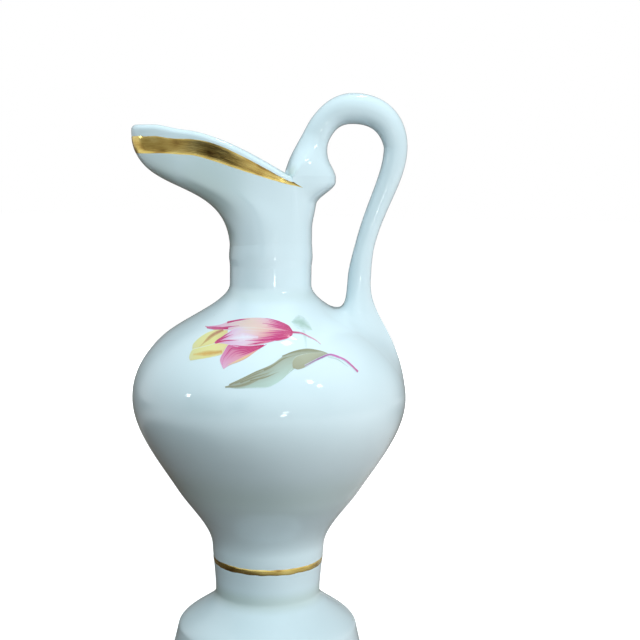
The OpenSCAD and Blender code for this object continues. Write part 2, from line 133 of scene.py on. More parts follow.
# Gold and print: films that reach a little into the glaze
FILM_T = 0.06
GOLD_SUNK = 0.05
PRINT_SUNK = 0.04
PRINT_Z = BELLY_Z + 13

# Step in the share of a line from which its direction is taken
STEP = 0.01


def smooth(t):
    """Soft step from 0 to 1."""
    s = min(1.0, max(0.0, t))
    return s * s * (3 - 2 * s)


def blend(a, b, t):
    return a + (b - a) * t


def climb(a, start, end):
    """Soft step from 0 to 1 between two angles from the handle."""
    return smooth((abs(a) - start) / (end - start))


def bezier(p, t):
    s = 1 - t
    return p[0] * s**3 + p[1] * (3 * t * s * s) + p[2] * (3 * t * t * s) + p[3] * t**3


def outline_r(z):
    """Radius of the turned pieces at a height."""
    k = 0
    while k < len(OUTLINE) - 2 and OUTLINE[k + 1][0] < z:
        k += 1
    (z0, r0, m0), (z1, r1, m1) = OUTLINE[k], OUTLINE[k + 1]
    h = z1 - z0
    t = (z - z0) / h
    return (
        (2 * t**3 - 3 * t * t + 1) * r0
        + (t**3 - 2 * t * t + t) * h * m0
        + (3 * t * t - 2 * t**3) * r1
        + (t**3 - t * t) * h * m1
    )


def outline_slope(z, step=0.05):
    return (outline_r(z + step) - outline_r(z - step)) / (2 * step)


def inside_r(z, wall):
    return outline_r(z) - wall * sqrt(1 + outline_slope(z) ** 2)


def run(z0, z1, steps, wall=0.0):
    """Points of the outline, or of the inner face of its wall, between two heights."""
    heights = [blend(z0, z1, i / steps) for i in range(steps + 1)]
    return [(inside_r(z, wall) if wall else outline_r(z), z) for z in heights]


def on_wall(z, across, lift, side):
    """Point of the turned wall, lifted off it, at a distance from the middle plane.

    The side is front, which is -Y, or back, which is +X."""
    slope = outline_slope(z)
    steep = sqrt(1 + slope * slope)
    r = outline_r(z) + lift / steep
    depth = sqrt(r * r - across * across)
    z_lifted = z - lift * slope / steep
    if side == "back":
        return Vector((depth, across, z_lifted))
    return Vector((across, -depth, z_lifted))


def shoulder_height(r):
    """Height at which the shoulder has a radius."""
    low, high = BELLY_Z, NECK_FOOT_Z
    for _ in range(30):
        middle = (low + high) / 2
        low, high = (middle, high) if outline_r(middle) > r else (low, middle)
    return low


# Materials
GLAZE = "#D9EBF2"
GLAZE_IOR = 1.5


def linear(colour):
    """An sRGB hex colour as linear RGBA."""
    parts = [int(colour[i:i + 2], 16) / 255 for i in (1, 3, 5)]
    return tuple(c / 12.92 if c <= 0.04045 else ((c + 0.055) / 1.055) ** 2.4 for c in parts) + (1.0,)


def add(tree, kind, inputs=None, stops=None, **settings):
    """One node with its settings; an input is a value, an output socket to link from, or a node, which
    gives its first output. A colour ramp also takes its stops."""
    node = tree.nodes.new(kind)
    for key, value in settings.items():
        setattr(node, key, value)
    for key, value in (inputs or {}).items():
        socket = node.inputs[key]
        source = value.outputs[0] if isinstance(value, bpy.types.Node) else value
        if isinstance(source, bpy.types.NodeSocket):
            tree.links.new(source, socket)
        else:
            socket.default_value = linear(value) if isinstance(value, str) else value
    for i, (place, colour) in enumerate(stops or []):
        points = node.color_ramp.elements
        point = points[i] if i < 2 else points.new(place)
        point.position = place
        point.color = linear(colour)
    return node


def new_material(name):
    """An empty material and its node tree."""
    material = bpy.data.materials.new(name)
    material.use_nodes = True
    material.node_tree.nodes.clear()
    return material, material.node_tree


def glazed_porcelain(name, bare_ring=False):
    """Hard porcelain, slip cast and dipped in clear glaze: cool white, mirror-smooth with a slow ripple,
    greyer and greener where the glaze pooled in the hollows, with painted shade there and under the beak and
    the belly, and with a few iron specks. The standing ring is wiped bare."""
    cloud_size, ripple_size, skin_size, speck_spacing = 18, 7, 1.2, 9
    material, tree = new_material(name)
    place = add(tree, "ShaderNodeTexCoord").outputs["Object"]
    cloud, ripple, skin = (
        add(tree, "ShaderNodeTexNoise", {"Vector": place, "Scale": 1 / (size * MM), "Detail": detail})
        for size, detail in ((cloud_size, 2.0), (ripple_size, 1.0), (skin_size, 1.0))
    )
    tint = add(tree, "ShaderNodeValToRGB", {"Fac": cloud}, [(0.3, "#D4E7EE"), (0.7, GLAZE)])
    # Painted shade: the glaze greys and greens where it pooled in the hollows and where shade falls under the
    # beak and the belly
    pool_and_shade = add(tree, "ShaderNodeAttribute", attribute_name="pool_and_shade").outputs["Fac"]
    pooled_and_shaded = add(tree, "ShaderNodeMixRGB", {"Fac": pool_and_shade, "Color1": tint, "Color2": "#B9CCC6"})
    cells = add(tree, "ShaderNodeTexVoronoi", {
        "Vector": place, "Scale": 1 / (speck_spacing * MM), "Randomness": 1.0})
    speck = add(tree, "ShaderNodeMapRange", {
        "Value": cells, "From Min": 0.012, "From Max": 0.022, "To Min": 0.55, "To Max": 0.0})
    colour = add(tree, "ShaderNodeMixRGB", {"Fac": speck, "Color1": pooled_and_shaded, "Color2": "#8F8B80"})
    waves = add(tree, "ShaderNodeMath", {0: skin, 1: 0.03, 2: ripple}, operation="MULTIPLY_ADD")
    bump = add(tree, "ShaderNodeBump", {"Height": waves, "Strength": 0.12, "Distance": 0.6 * MM})
    roughness = add(tree, "ShaderNodeMapRange", {"Value": cloud, "To Min": 0.05, "To Max": 0.09})
    if bare_ring:
        height = add(tree, "ShaderNodeSeparateXYZ", {"Vector": place}).outputs["Z"]
        edge = add(tree, "ShaderNodeMath", {0: skin, 1: -0.5 * MM, 2: height}, operation="MULTIPLY_ADD")
        bare = add(tree, "ShaderNodeMapRange", {
            "Value": edge, "From Min": 0.1 * MM, "From Max": 0.25 * MM, "To Min": 1.0, "To Max": 0.0})
        colour = add(tree, "ShaderNodeMixRGB", {"Fac": bare, "Color1": colour, "Color2": "#DED8CA"})
        roughness = add(tree, "ShaderNodeMapRange", {"Value": bare, "To Min": 0.07, "To Max": 0.75})
    shader = add(tree, "ShaderNodeBsdfPrincipled", {
        "Base Color": colour, "Roughness": roughness, "IOR": GLAZE_IOR, "Normal": bump})
    add(tree, "ShaderNodeOutputMaterial", {"Surface": shader})
    return material


def liquid_gold():
    """Liquid bright gold, brushed on over the glaze and fired: a mirror film that shows the room, with brown
    patches that are partly where the brush left it thin and partly painted dark reflection, and with fine
    ridges along the stroke."""
    # The map runs in millimetres, so a scale of 5 is a ridge every 0.2 mm
    patches, hairs, hair_slant = (0.22, 0.4, 1.0), (0.4, 5.0, 1.0), radians(12)
    material, tree = new_material("liquid_bright_gold")
    along = add(tree, "ShaderNodeUVMap", uv_map="along_across")
    slow = add(tree, "ShaderNodeMapping", {"Vector": along, "Scale": patches})
    # Painted reflection: the brown patches stand partly for thin gold and partly for the dark room mirrored
    # in it
    thickness_and_painted_reflection = add(tree, "ShaderNodeTexNoise", {"Vector": slow, "Scale": 1.0, "Detail": 1.0})
    hair = add(tree, "ShaderNodeMapping", {
        "Vector": along, "Rotation": (0, 0, hair_slant), "Scale": hairs})
    ridges = add(tree, "ShaderNodeTexNoise", {"Vector": hair, "Scale": 1.0, "Detail": 2.0})
    film_and_painted_reflection = add(tree, "ShaderNodeMath", {0: ridges, 1: 0.3, 2: thickness_and_painted_reflection}, operation="MULTIPLY_ADD")
    colour = add(tree, "ShaderNodeValToRGB", {"Fac": film_and_painted_reflection}, [
        (0.42, "#8A6A36"), (0.55, "#B89E58"), (0.7, "#C9B26A"), (0.88, "#D8C682")])
    rough = add(tree, "ShaderNodeMapRange", {"Value": ridges, "To Min": 0.1, "To Max": 0.24})
    bump = add(tree, "ShaderNodeBump", {"Height": ridges, "Strength": 0.3, "Distance": 0.05 * MM})
    shader = add(tree, "ShaderNodeBsdfPrincipled", {
        "Base Color": colour, "Metallic": 1.0, "Roughness": rough, "Normal": bump})
    add(tree, "ShaderNodeOutputMaterial", {"Surface": shader})
    return material


def enamel(name, over, under=None, fade=0.3, edge=GLAZE):
    """On-glaze enamel, printed and fired: a wash of colour that runs along a petal, from one range of
    colours at its upper edge to another at its lower one, in faint streaks, and thins out at its edges
    to the colour of what is under it."""
    # The map runs from 0 to 1 along and across, so a lane on a petal is about 0.3 mm wide
    grain_size, lane_counts, sway = 0.9, (2.5, 14.0, 1.0), 0.07
    material, tree = new_material(name)
    uv = add(tree, "ShaderNodeUVMap", uv_map="along_across")
    place = add(tree, "ShaderNodeTexCoord").outputs["Object"]
    grain = add(tree, "ShaderNodeTexNoise", {
        "Vector": place, "Scale": 1 / (grain_size * MM), "Detail": 2.0})
    lanes = add(tree, "ShaderNodeMapping", {"Vector": uv, "Scale": lane_counts})
    streak = add(tree, "ShaderNodeTexNoise", {"Vector": lanes, "Scale": 1.0, "Detail": 1.0})
    split = add(tree, "ShaderNodeSeparateXYZ", {"Vector": uv}).outputs
    drift = add(tree, "ShaderNodeMapRange", {
        "Value": streak, "From Min": 0.3, "From Max": 0.7, "To Min": -sway, "To Max": sway})
    along = add(tree, "ShaderNodeMath", {0: split["X"], 1: drift}, operation="ADD")
    upper = add(tree, "ShaderNodeValToRGB", {"Fac": along}, over)
    lower = add(tree, "ShaderNodeValToRGB", {"Fac": along}, under or over)
    wash = add(tree, "ShaderNodeMixRGB", {"Fac": split["Y"], "Color1": lower, "Color2": upper})
    middle = add(tree, "ShaderNodeMath", {0: split["Y"], 1: 0.5}, operation="SUBTRACT")
    off = add(tree, "ShaderNodeMath", {0: middle}, operation="ABSOLUTE")
    ragged = add(tree, "ShaderNodeMath", {0: grain, 1: fade, 2: off}, operation="MULTIPLY_ADD")
    thin = add(tree, "ShaderNodeMapRange", {
        "Value": ragged, "From Min": 0.5 - fade / 2, "From Max": 0.5 + fade / 2, "To Max": 0.8})
    colour = add(tree, "ShaderNodeMixRGB", {"Fac": thin, "Color1": wash, "Color2": edge})
    shader = add(tree, "ShaderNodeBsdfPrincipled", {
        "Base Color": colour, "Roughness": 0.1, "IOR": GLAZE_IOR})
    add(tree, "ShaderNodeOutputMaterial", {"Surface": shader})
    return material


# Meshes
SIDES = 160
WELD = 0.0005
SHARP_ANGLE = 38

# Glaze pooled in the hollows, and painted shade there and under the beak and the belly: rings by radius and
# height, and places, each with its reach and its weight
POOL_AND_SHADE_RINGS = [(10.6, 87.6, 2.6, 0.35), (11.4, 20.6, 3.0, 0.6), (20.5, 46.5, 9.0, 0.45)]
POOL_AND_SHADE_PLACES = [
    ((3.6, -6.6, 113.6), 2.6, 1.0),
    ((3.6, 6.6, 113.6), 2.6, 1.0),
    ((15.4, 0.0, 85.2), 3.0, 0.6),
    ((9.6, 0.0, 106.6), 2.4, 0.6),
    ((-13.0, 0.0, 109.0), 15.0, 1.0),
    ((-22.5, 0.0, 112.0), 10.0, 0.9),
    ((-8.7, 0.0, 100.5), 9.5, 0.8),
]


def pooling_and_painted_shade(p):
    """How much the glaze is greyed at a point, from 0 to 1: pooled glaze and painted shade in the hollows,
    and painted shade under the beak and the belly.
    """
    rings = [
        weight * smooth(1 - hypot(hypot(p.x, p.y) - r, p.z - z) / reach)
        for r, z, reach, weight in POOL_AND_SHADE_RINGS
    ]
    places = [weight * smooth(1 - (p - Vector(at)).length / reach) for at, reach, weight in POOL_AND_SHADE_PLACES]
    return max(rings + places)


def new_object(name, data):
    made = bpy.data.objects.new(name, data)
    bpy.context.scene.collection.objects.link(made)
    return made


def finished(mesh, name, finishes):
    """A smooth piece from a closed mesh in metres: doubles merged, faces outwards, joints left sharp."""
    shape = bmesh.new()
    shape.from_mesh(mesh)
    bmesh.ops.remove_doubles(shape, verts=shape.verts, dist=WELD * MM)
    bmesh.ops.recalc_face_normals(shape, faces=shape.faces)
    shape.to_mesh(mesh)
    shape.free()
    mesh.polygons.foreach_set("use_smooth", [True] * len(mesh.polygons))
    mesh.set_sharp_from_angle(angle=radians(SHARP_ANGLE))
    # Pooled glaze and painted shade, from 0 to 1 at each point, which the glaze's colour reads
    pool_and_shade = mesh.attributes.new("pool_and_shade", "FLOAT", "POINT")
    pool_and_shade.data.foreach_set("value", [pooling_and_painted_shade(v.co / MM) for v in mesh.vertices])
    if not mesh.materials:
        for finish in finishes:
            mesh.materials.append(finish)
    mesh.name = name
    return new_object(name, mesh)


def settle(piece, slot, *nodes):
    """The piece stands for CAD nodes, which it hides, and stays with the ewer's one body."""
    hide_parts(*nodes)
    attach(piece, "root")


def turning_tree():
    """Geometry nodes that turn an outline, given as a chain of points in the XZ plane, round the Z axis."""
    tree = bpy.data.node_groups.new("turned_wall", "GeometryNodeTree")
    for name, kind in (("Outline", "Geometry"), ("Sides", "Int"), ("Finish", "Material")):
        tree.interface.new_socket(name, in_out="INPUT", socket_type="NodeSocket" + kind)
    tree.interface.new_socket("Wall", in_out="OUTPUT", socket_type="NodeSocketGeometry")
    given = add(tree, "NodeGroupInput").outputs
    size = add(tree, "GeometryNodeAttributeDomainSize", {"Geometry": given["Outline"]}, component="MESH")
    points = size.outputs["Point Count"]
    columns = add(tree, "FunctionNodeIntegerMath", {0: given["Sides"], 1: 1}, operation="ADD")
    grid = add(tree, "GeometryNodeMeshGrid", {"Vertices X": columns, "Vertices Y": points})
    index = add(tree, "GeometryNodeInputIndex")
    row = add(tree, "FunctionNodeIntegerMath", {0: index, 1: points}, operation="MODULO")
    column = add(tree, "FunctionNodeIntegerMath", {0: index, 1: points}, operation="DIVIDE")
    position = add(tree, "GeometryNodeInputPosition")
    place = add(tree, "GeometryNodeSampleIndex", {
        "Geometry": given["Outline"], "Value": position, "Index": row}, data_type="FLOAT_VECTOR")
    drawn = add(tree, "ShaderNodeSeparateXYZ", {"Vector": place}).outputs
    step = add(tree, "ShaderNodeMath", {0: tau, 1: given["Sides"]}, operation="DIVIDE")
    angle = add(tree, "ShaderNodeMath", {0: column, 1: step}, operation="MULTIPLY")
    turn = add(tree, "FunctionNodeAxisAngleToRotation", {"Axis": (0, 0, 1), "Angle": angle})
    spoke = add(tree, "ShaderNodeCombineXYZ", {"X": drawn["X"], "Z": drawn["Z"]})
    turned = add(tree, "FunctionNodeRotateVector", {"Vector": spoke, "Rotation": turn})
    wall = add(tree, "GeometryNodeSetPosition", {"Geometry": grid, "Position": turned})
    closed = add(tree, "GeometryNodeMergeByDistance", {"Geometry": wall, "Distance": WELD * MM})
    real = add(tree, "GeometryNodeRealizeInstances", {"Geometry": closed})
    dressed = add(tree, "GeometryNodeSetMaterial", {"Geometry": real, "Material": given["Finish"]})
    add(tree, "NodeGroupOutput", {"Wall": dressed})
    return tree


TURNING = turning_tree()


def turned_piece(name, outline, finish):
    """A piece turned from its outline: points of radius and height, in millimetres."""
    chain = bpy.data.meshes.new(name + "_outline")
    edges = [(i, i + 1) for i in range(len(outline) - 1)]
    chain.from_pydata([(r * MM, 0.0, z * MM) for r, z in outline], edges, [])
    blank = new_object(name + "_outline", chain)
    turning = blank.modifiers.new("turning", "NODES")
    turning.node_group = TURNING
    sockets = {s.name: s.identifier for s in TURNING.interface.items_tree if s.in_out == "INPUT"}
    turning[sockets["Sides"]] = SIDES
    turning[sockets["Finish"]] = finish
    seen = bpy.context.evaluated_depsgraph_get()
    mesh = bpy.data.meshes.new_from_object(blank.evaluated_get(seen), depsgraph=seen)
    bpy.data.objects.remove(blank)
    return finished(mesh, name, [finish])


def ring_piece(name, rings, finish, ends=None):
    """A closed piece from rings of points; its ends are fans round two middles, or else meet each other."""
    n = len(rings[0])
    points = [p for ring in rings for p in ring]
    total = len(points)
    faces = [
        (j * n + i, j * n + (i + 1) % n, (j + 1) * n + (i + 1) % n, (j + 1) * n + i)
        for j in range(len(rings) - 1)
        for i in range(n)
    ]
    for i in range(n):
        k = (i + 1) % n
        if ends:
            faces += [(k, i, total), (total - n + i, total - n + k, total + 1)]
        else:
            faces.append((total - n + i, total - n + k, k, i))
    mesh = bpy.data.meshes.new(name)
    mesh.from_pydata([tuple(Vector(p) * MM) for p in points + list(ends or [])], [], faces)
    return finished(mesh, name, [finish])


def film_piece(name, sheets, finishes):
    """Thin closed films. Each sheet is a lower and an upper grid of points, its finish, and a function
    that gives the UV at a row and a column."""
    points, faces, places, kinds = [], [], [], []
    for lower, upper, finish, uv in sheets:
        rows, n = len(upper), len(upper[0])
        base, half = len(points), rows * n
        points += [p for row in upper for p in row] + [p for row in lower for p in row]
        spots = [uv(j, i) for j in range(rows) for i in range(n)]
        places += spots + spots
        quads = [
            (base + j * n + i, base + j * n + i + 1, base + (j + 1) * n + i + 1, base + (j + 1) * n + i)
            for j in range(rows - 1)
            for i in range(n - 1)
        ]
        under = [tuple(half + k for k in reversed(q)) for q in quads]
        rim = [base + i for i in range(n)]
        rim += [base + j * n + n - 1 for j in range(1, rows)]
        rim += [base + (rows - 1) * n + i for i in range(n - 2, -1, -1)]
        rim += [base + j * n for j in range(rows - 2, 0, -1)]
        walls = [(a, b, b + half, a + half) for a, b in zip(rim, rim[1:] + rim[:1])]
        faces += quads + under + walls
        kinds += [finishes.index(finish)] * (len(quads) + len(under) + len(walls))
    mesh = bpy.data.meshes.new(name)
    mesh.from_pydata([tuple(Vector(p) * MM) for p in points], [], faces)
    layer = mesh.uv_layers.new(name="along_across")
    for loop in mesh.loops:
        layer.data[loop.index].uv = places[loop.vertex_index]
    mesh.polygons.foreach_set("material_index", kinds)
    return finished(mesh, name, finishes)


PORCELAIN = glazed_porcelain("glazed_porcelain")
FOOT_PORCELAIN = glazed_porcelain("glazed_porcelain_with_bare_ring", bare_ring=True)
GOLD = liquid_gold()


# Foot and body, and the slip below and above the body
def make_foot():
    edge_steps = 8
    lid_z = FOOT_TOP - FOOT_LID_T
    ring_r = inside_r(0, FOOT_WALL)
    inner_edge = [(ring_r + 0.15, 0.2), (ring_r + 0.5, 0.0)]
    outer_edge = [
        (blend(FOOT_R - FOOT_EDGE_R, outline_r(FOOT_EDGE_R), sin(q)), FOOT_EDGE_R * (1 - cos(q)))
        for q in (pi / 2 * i / edge_steps for i in range(edge_steps))
    ]
    outline = [(0.0, lid_z)] + run(lid_z, FOOT_EDGE_R, 90, FOOT_WALL)
    outline += inner_edge + outer_edge + run(FOOT_EDGE_R, FOOT_TOP, 120) + [(0.0, FOOT_TOP)]
    settle(turned_piece("foot", outline, FOOT_PORCELAIN), "porcelain", "foot")


def make_body():
    low, high = BODY_LOW.z, BODY_HIGH.z
    outline = [(0.0, low)] + run(low, high, 200)
    outline += run(high, low + FLOOR_T, 120, BODY_WALL) + [(0.0, low + FLOOR_T)]
    settle(turned_piece("body", outline, PORCELAIN), "porcelain", "body")


def make_neck_slip():
    """Slip squeezed out at the joint and smoothed with a wet brush, mostly upwards, so it runs out on
    the neck."""
    wiped, crest_up = 0.8, 0.7
    below, above = 2.4, 3.6
    sunk = 0.004
    steps = 60
    bead_t = wiped * (BEAD_HIGH.x - NECK_R)
    crest_z = (BEAD_LOW.z + BEAD_HIGH.z) / 2 + crest_up
    inner = NECK_R - BODY_WALL
    bead = []
    for i in range(steps + 1):
        s = blend(-1, 1, i / steps)
        z = crest_z + s * (below if s < 0 else above)
        bead.append((NECK_R - sunk + (bead_t + sunk) * cos(pi / 2 * s) ** 2, z))
    low, high = BODY_HIGH.z, SPOUT_LOW.z
    outline = [(inner, low)] + bead + [(inner, high), (inner, low)]
    settle(turned_piece("neck_slip", outline, PORCELAIN), "slip", "neck_slip")


make_foot()
make_body()
make_neck_slip()
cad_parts["foot_slip"].data.materials.clear()
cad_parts["foot_slip"].data.materials.append(PORCELAIN)


# Spout: each line up the wall starts on the neck, swings out towards the tip and ends on the rim
def draw_out(a):
    """How far the wall is drawn out to the beak, from 0 behind to 1 at the tip."""
    back = 1 - cos(radians(ROUND_BACK_ANGLE))
    return smooth((1 - cos(radians(a)) - back) / (2 - back))


def seat_share(a):
    """1 where the handle sits on the rim, 0 elsewhere."""
    return 1 - climb(a, SEAT_HALF_ANGLE, ROUND_BACK_ANGLE)


def rim_z(a):
    return SEAT_Z + RIM_RISE * climb(a, *RIM_CLIMB) + TIP_RISE * climb(a, *TIP_CLIMB)


def lip_h(a):
    return SPOUT_WALL / 2 * (1 - seat_share(a))


def spout_point(a, t):
    """Point of the outer wall at an angle, from the collar at t = 0 to the lip at t = 1."""
    c, s, d = cos(radians(a)), sin(radians(a)), draw_out(a)
    low = Vector((NECK_R * c, NECK_R * s, SPOUT_LOW.z + COLLAR_H))
    high = Vector((
        NECK_R * c - (SPOUT_REACH - NECK_R) * d,
        NECK_R * s * (1 - BEAK_TAPER * d),
        rim_z(a) - lip_h(a),
    ))
    up = Vector((0, 0, high.z - low.z))
    return bezier((low, low + up * NECK_HOLD, high - up * LIP_HOLD, high), t)


def spout_normal(a, t):
    around = spout_point(a + 1, t) - spout_point(a - 1, t)
    upward = spout_point(a, min(1, t + STEP)) - spout_point(a, max(0, t - STEP))
    return around.cross(upward).normalized()


def spout_wall(a, t):
    """Thickness of the wall, which is more under the handle's seat."""
    under = rim_z(a) - spout_point(a, t).z
    return blend(SPOUT_WALL, SEAT_W, seat_share(a) * (1 - smooth(under / SEAT_DEPTH)))


def lip_point(a, turn):
    """Point of the rounded lip, which turns from the outer face to the inner one."""
    out = spout_normal(a, 1) * (spout_wall(a, 1) / 2)
    return spout_point(a, 1) + out * (cos(turn) - 1) + Vector((0, 0, lip_h(a) * sin(turn)))


def share_at(a, z):
    """Share of the way up the wall at which it reaches a height."""
    low, high = 0.0, 1.0
    for _ in range(26):
        middle = (low + high) / 2
        low, high = (middle, high) if spout_point(a, middle).z < z else (low, middle)
    return low


def make_spout():
    angles = [360 * i / SIDES - 180 for i in range(SIDES)]
    wall_rows, lip_rows, inner_rows = 80, 14, 60
    inner_r = NECK_R - SPOUT_WALL
    collar = [(cos(radians(a)), sin(radians(a)), SPOUT_LOW.z) for a in angles]
    rings = [[(NECK_R * x, NECK_R * y, z) for x, y, z in collar]]
    rings += [[spout_point(a, j / wall_rows) for a in angles] for j in range(wall_rows + 1)]
    rings += [[lip_point(a, pi * k / lip_rows) for a in angles] for k in range(1, lip_rows)]
    for j in range(inner_rows + 1):
        t = 1 - j / inner_rows
        rings.append([spout_point(a, t) - spout_normal(a, t) * spout_wall(a, t) for a in angles])
    rings.append([(inner_r * x, inner_r * y, z) for x, y, z in collar])
    settle(ring_piece("spout", rings, PORCELAIN), "porcelain", "spout")


make_spout()


# Handle: a loop from the back of the rim to the shoulder, with a nose of slip under its root
HANDLE_SIDES = 72
TURNS = [tau * i / HANDLE_SIDES for i in range(HANDLE_SIDES)]
TAIL_Z = shoulder_height(TAIL_X) + TAIL_FLARE_H

# Middle line as curves with two ends and two guides: up from the rim, over the top, and down the limb
RISE_LINE = [
    Vector((ROOT_X, SEAT_Z)),
    Vector((ROOT_X - 0.95, blend(SEAT_Z, LOOP_Z, 0.2))),
    Vector((blend(CROWN_X, ROOT_X, 0.88), LOOP_Z)),
    Vector((CROWN_X, LOOP_Z)),
]
OVER_LINE = [
    Vector((CROWN_X, LOOP_Z)),
    Vector((blend(CROWN_X, LIMB_X, 0.95), LOOP_Z)),
    Vector((LIMB_X, blend(LIMB_Z, LOOP_Z, 0.05))),
    Vector((LIMB_X, LIMB_Z)),
]
LIMB_LINE = [
    Vector((LIMB_X, LIMB_Z)),
    Vector((LIMB_X, blend(LIMB_Z, TAIL_Z, 0.27))),
    Vector((TAIL_X, blend(TAIL_Z, LIMB_Z, 0.51))),
    Vector((TAIL_X, TAIL_Z)),
]

# Shares of the rise at which its rings are square to the line, oval, slim, and start to fill out to the crown
LEVEL_END = 0.3
OVAL_AT = 0.45
ROOT_END = 0.54
ARM_END = 0.66
# Shares of the limb at which it is thinnest and starts to flare out
LIMB_THIN_AT = 0.72
FLARE_START = 0.9

# Flare on the shoulder, on the side of the neck, on its flanks and on its outer side: how far it runs out
# beyond the handle's foot, and how long it follows the limb and the shoulder
FLARE_SKIRT = (0.35, 5.2, 4.9)
FLARE_DOWN = (5.1, 8.0, 9.2)
FLARE_ALONG = (7.2, 8.6, 13.9)
FLARE_SUNK = 0.02

# Bed of slip under the handle's foot
BED_T = 0.48
BED_SHARE = 0.6
BED_FEATHER = 0.012
BED_MARGIN = 0.8


def nose_out(a, z):
    """How far the nose stands out from the neck: a wiped film low down, then a bulge, both dying out
    sideways."""
    film_and_painted_reflection, film_rise = 0.18, 0.6
    bulge, bulge_start, bulge_rise = 0.82, 0.48, 0.42
    share = (z - NOSE_LOW.z) / NOSE_H
    swell = film_and_painted_reflection * smooth(share / film_rise) + bulge * smooth((share - bulge_start) / bulge_rise)
    return NOSE_OUT * swell * cos(pi / 2 * min(1, abs(a) / NOSE_HALF_ANGLE)) ** 2


def root_section(q):
    """Section of the root on the rim, from the axis: the round of the neck with the nose, and a flat
    inner side."""
    corner = Vector((cos(radians(NOSE_HALF_ANGLE)), sin(radians(NOSE_HALF_ANGLE)))) * NECK_R
    if cos(q) < 0:
        inner_x = ROOT_X - ROOT_T / 2
        return Vector((corner.x + (corner.x - inner_x) * cos(q), corner.y * sin(q)))
    a = (q if q < pi else q - tau) / (pi / 2) * NOSE_HALF_ANGLE
    r = NECK_R + nose_out(a, SEAT_Z)
    return Vector((r * cos(radians(a)), r * sin(radians(a))))


def direction(line, t):
    return (bezier(line, min(1, t + STEP)) - bezier(line, max(0, t - STEP))).normalized()


def line_ring(line, t, offset, turned=1.0):
    """Ring round the middle line: offset gives the distance in the plane of the loop and across it."""
    d = blend(Vector((0, 1)), direction(line, t), turned).normalized()
    m = bezier(line, t)
    ring = []
    for q in TURNS:
        e = offset(q)
        ring.append(Vector((m.x + d.y * e.x, e.y, m.y - d.x * e.x)))
    return ring


def oval(half, breadth):
    return lambda q: Vector((half * cos(q), breadth * sin(q)))


def rise_ring(t):
    """Ring of the rise, which starts as the section of the root and slims down to the arm."""
    slim = smooth(t / ROOT_END)
    crown_gain = (LOOP_T - ARM_T) * smooth((t - ARM_END) / (1 - ARM_END))
    half = (blend(ROOT_T, ARM_T, slim) + crown_gain) / 2
    breadth = (blend(2 * NECK_R * sin(radians(NOSE_HALF_ANGLE)), ARM_T, slim) + crown_gain) / 2
    shrink = half / (ROOT_T / 2)
    root = Vector((ROOT_X, 0))

    def offset(q):
        return blend((root_section(q) - root) * shrink, oval(half, breadth)(q), smooth(t / OVAL_AT))

    return line_ring(RISE_LINE, t, offset, turned=smooth(t / LEVEL_END))


def limb_oval(t):
    """Section of the limb, which thins out and then widens again towards its foot."""
    slim = smooth(t / LIMB_THIN_AT)
    widen = smooth((t - LIMB_THIN_AT) / (1 - LIMB_THIN_AT))
    half = (blend(BEND_T, LIMB_T, slim) if t < LIMB_THIN_AT else blend(LIMB_T, TAIL_T, widen)) / 2
    return oval(half, blend(half, (LIMB_T + TAIL_T) / 4, widen))


def tail_point(q, grow, lift, skirt=0.0):
    """Point of the handle's foot on the shoulder: q runs round it, grow shrinks it to its middle."""
    up = grow * TAIL_FOOT_H / 2 + skirt
    out = grow * TAIL_FOOT_B / 2 + skirt
    return on_wall(shoulder_height(TAIL_X) - TAIL_DROP + up * cos(q), out * sin(q), lift, "back")


def spread(q, inner, side, outer):
    """A value that runs round the handle's foot, from the side of the neck over its flanks to its outer
    side."""
    c = cos(q)
    return blend(side, inner if c > 0 else outer, c * c)


def flare_point(q, top, t):
    """Point of the flare that runs from the limb out along the shoulder, where it ends without an edge."""
    step_back = 0.2
    skirt = spread(q, *FLARE_SKIRT)
    end = tail_point(q, 1, -FLARE_SUNK, skirt)
    along = (tail_point(q, 1, -FLARE_SUNK, skirt - step_back) - end).normalized()
    d = direction(LIMB_LINE, FLARE_START)
    down = Vector((d.x, 0, d.y)) * spread(q, *FLARE_DOWN)
    return bezier((top, top + down, end + along * spread(q, *FLARE_ALONG), end), t)


def slip_point(q, s, over=0.0):
    """Point of the bed of slip, from its middle to its wiped edge, which shows beyond the handle's foot."""
    bed = BED_T * (1 - smooth(s / BED_SHARE))
    feather = 2 * BED_FEATHER * smooth((s - BED_SHARE) / (1 - BED_SHARE))
    lift = BED_FEATHER + bed - feather
    return tail_point(q, s, lift + over, (spread(q, *FLARE_SKIRT) + BED_MARGIN) * s)


def make_handle():
    rise_steps, over_steps, limb_steps, flare_steps = 40, 32, 44, 36
    root_depth = 1.8
    rings = []
    for depth, shrink in ((root_depth, 0.1), (0.4, 0.03)):
        share = 1 - shrink / NECK_R
        sections = [root_section(q) for q in TURNS]
        rings.append([Vector((p.x * share, p.y * share, SEAT_Z - depth)) for p in sections])
    rings += [rise_ring(k / rise_steps) for k in range(rise_steps)]
    for k in range(over_steps):
        t = k / over_steps
        half = blend(LOOP_T, BEND_T, smooth(t)) / 2
        rings.append(line_ring(OVER_LINE, t, oval(half, half)))
    for k in range(limb_steps + 1):
        t = FLARE_START * k / limb_steps
        rings.append(line_ring(LIMB_LINE, t, limb_oval(t)))
    top = rings[-1]
    for k in range(1, flare_steps + 1):
        rings.append([flare_point(q, top[i], k / flare_steps) for i, q in enumerate(TURNS)])
    rings += [[slip_point(q, s, FLARE_SUNK) for q in TURNS] for s in (BED_SHARE, BED_SHARE / 2)]
    ends = [Vector((ROOT_X, 0, SEAT_Z - root_depth)), slip_point(0, 0, FLARE_SUNK)]
    settle(ring_piece("handle", rings, PORCELAIN, ends), "porcelain", "handle")


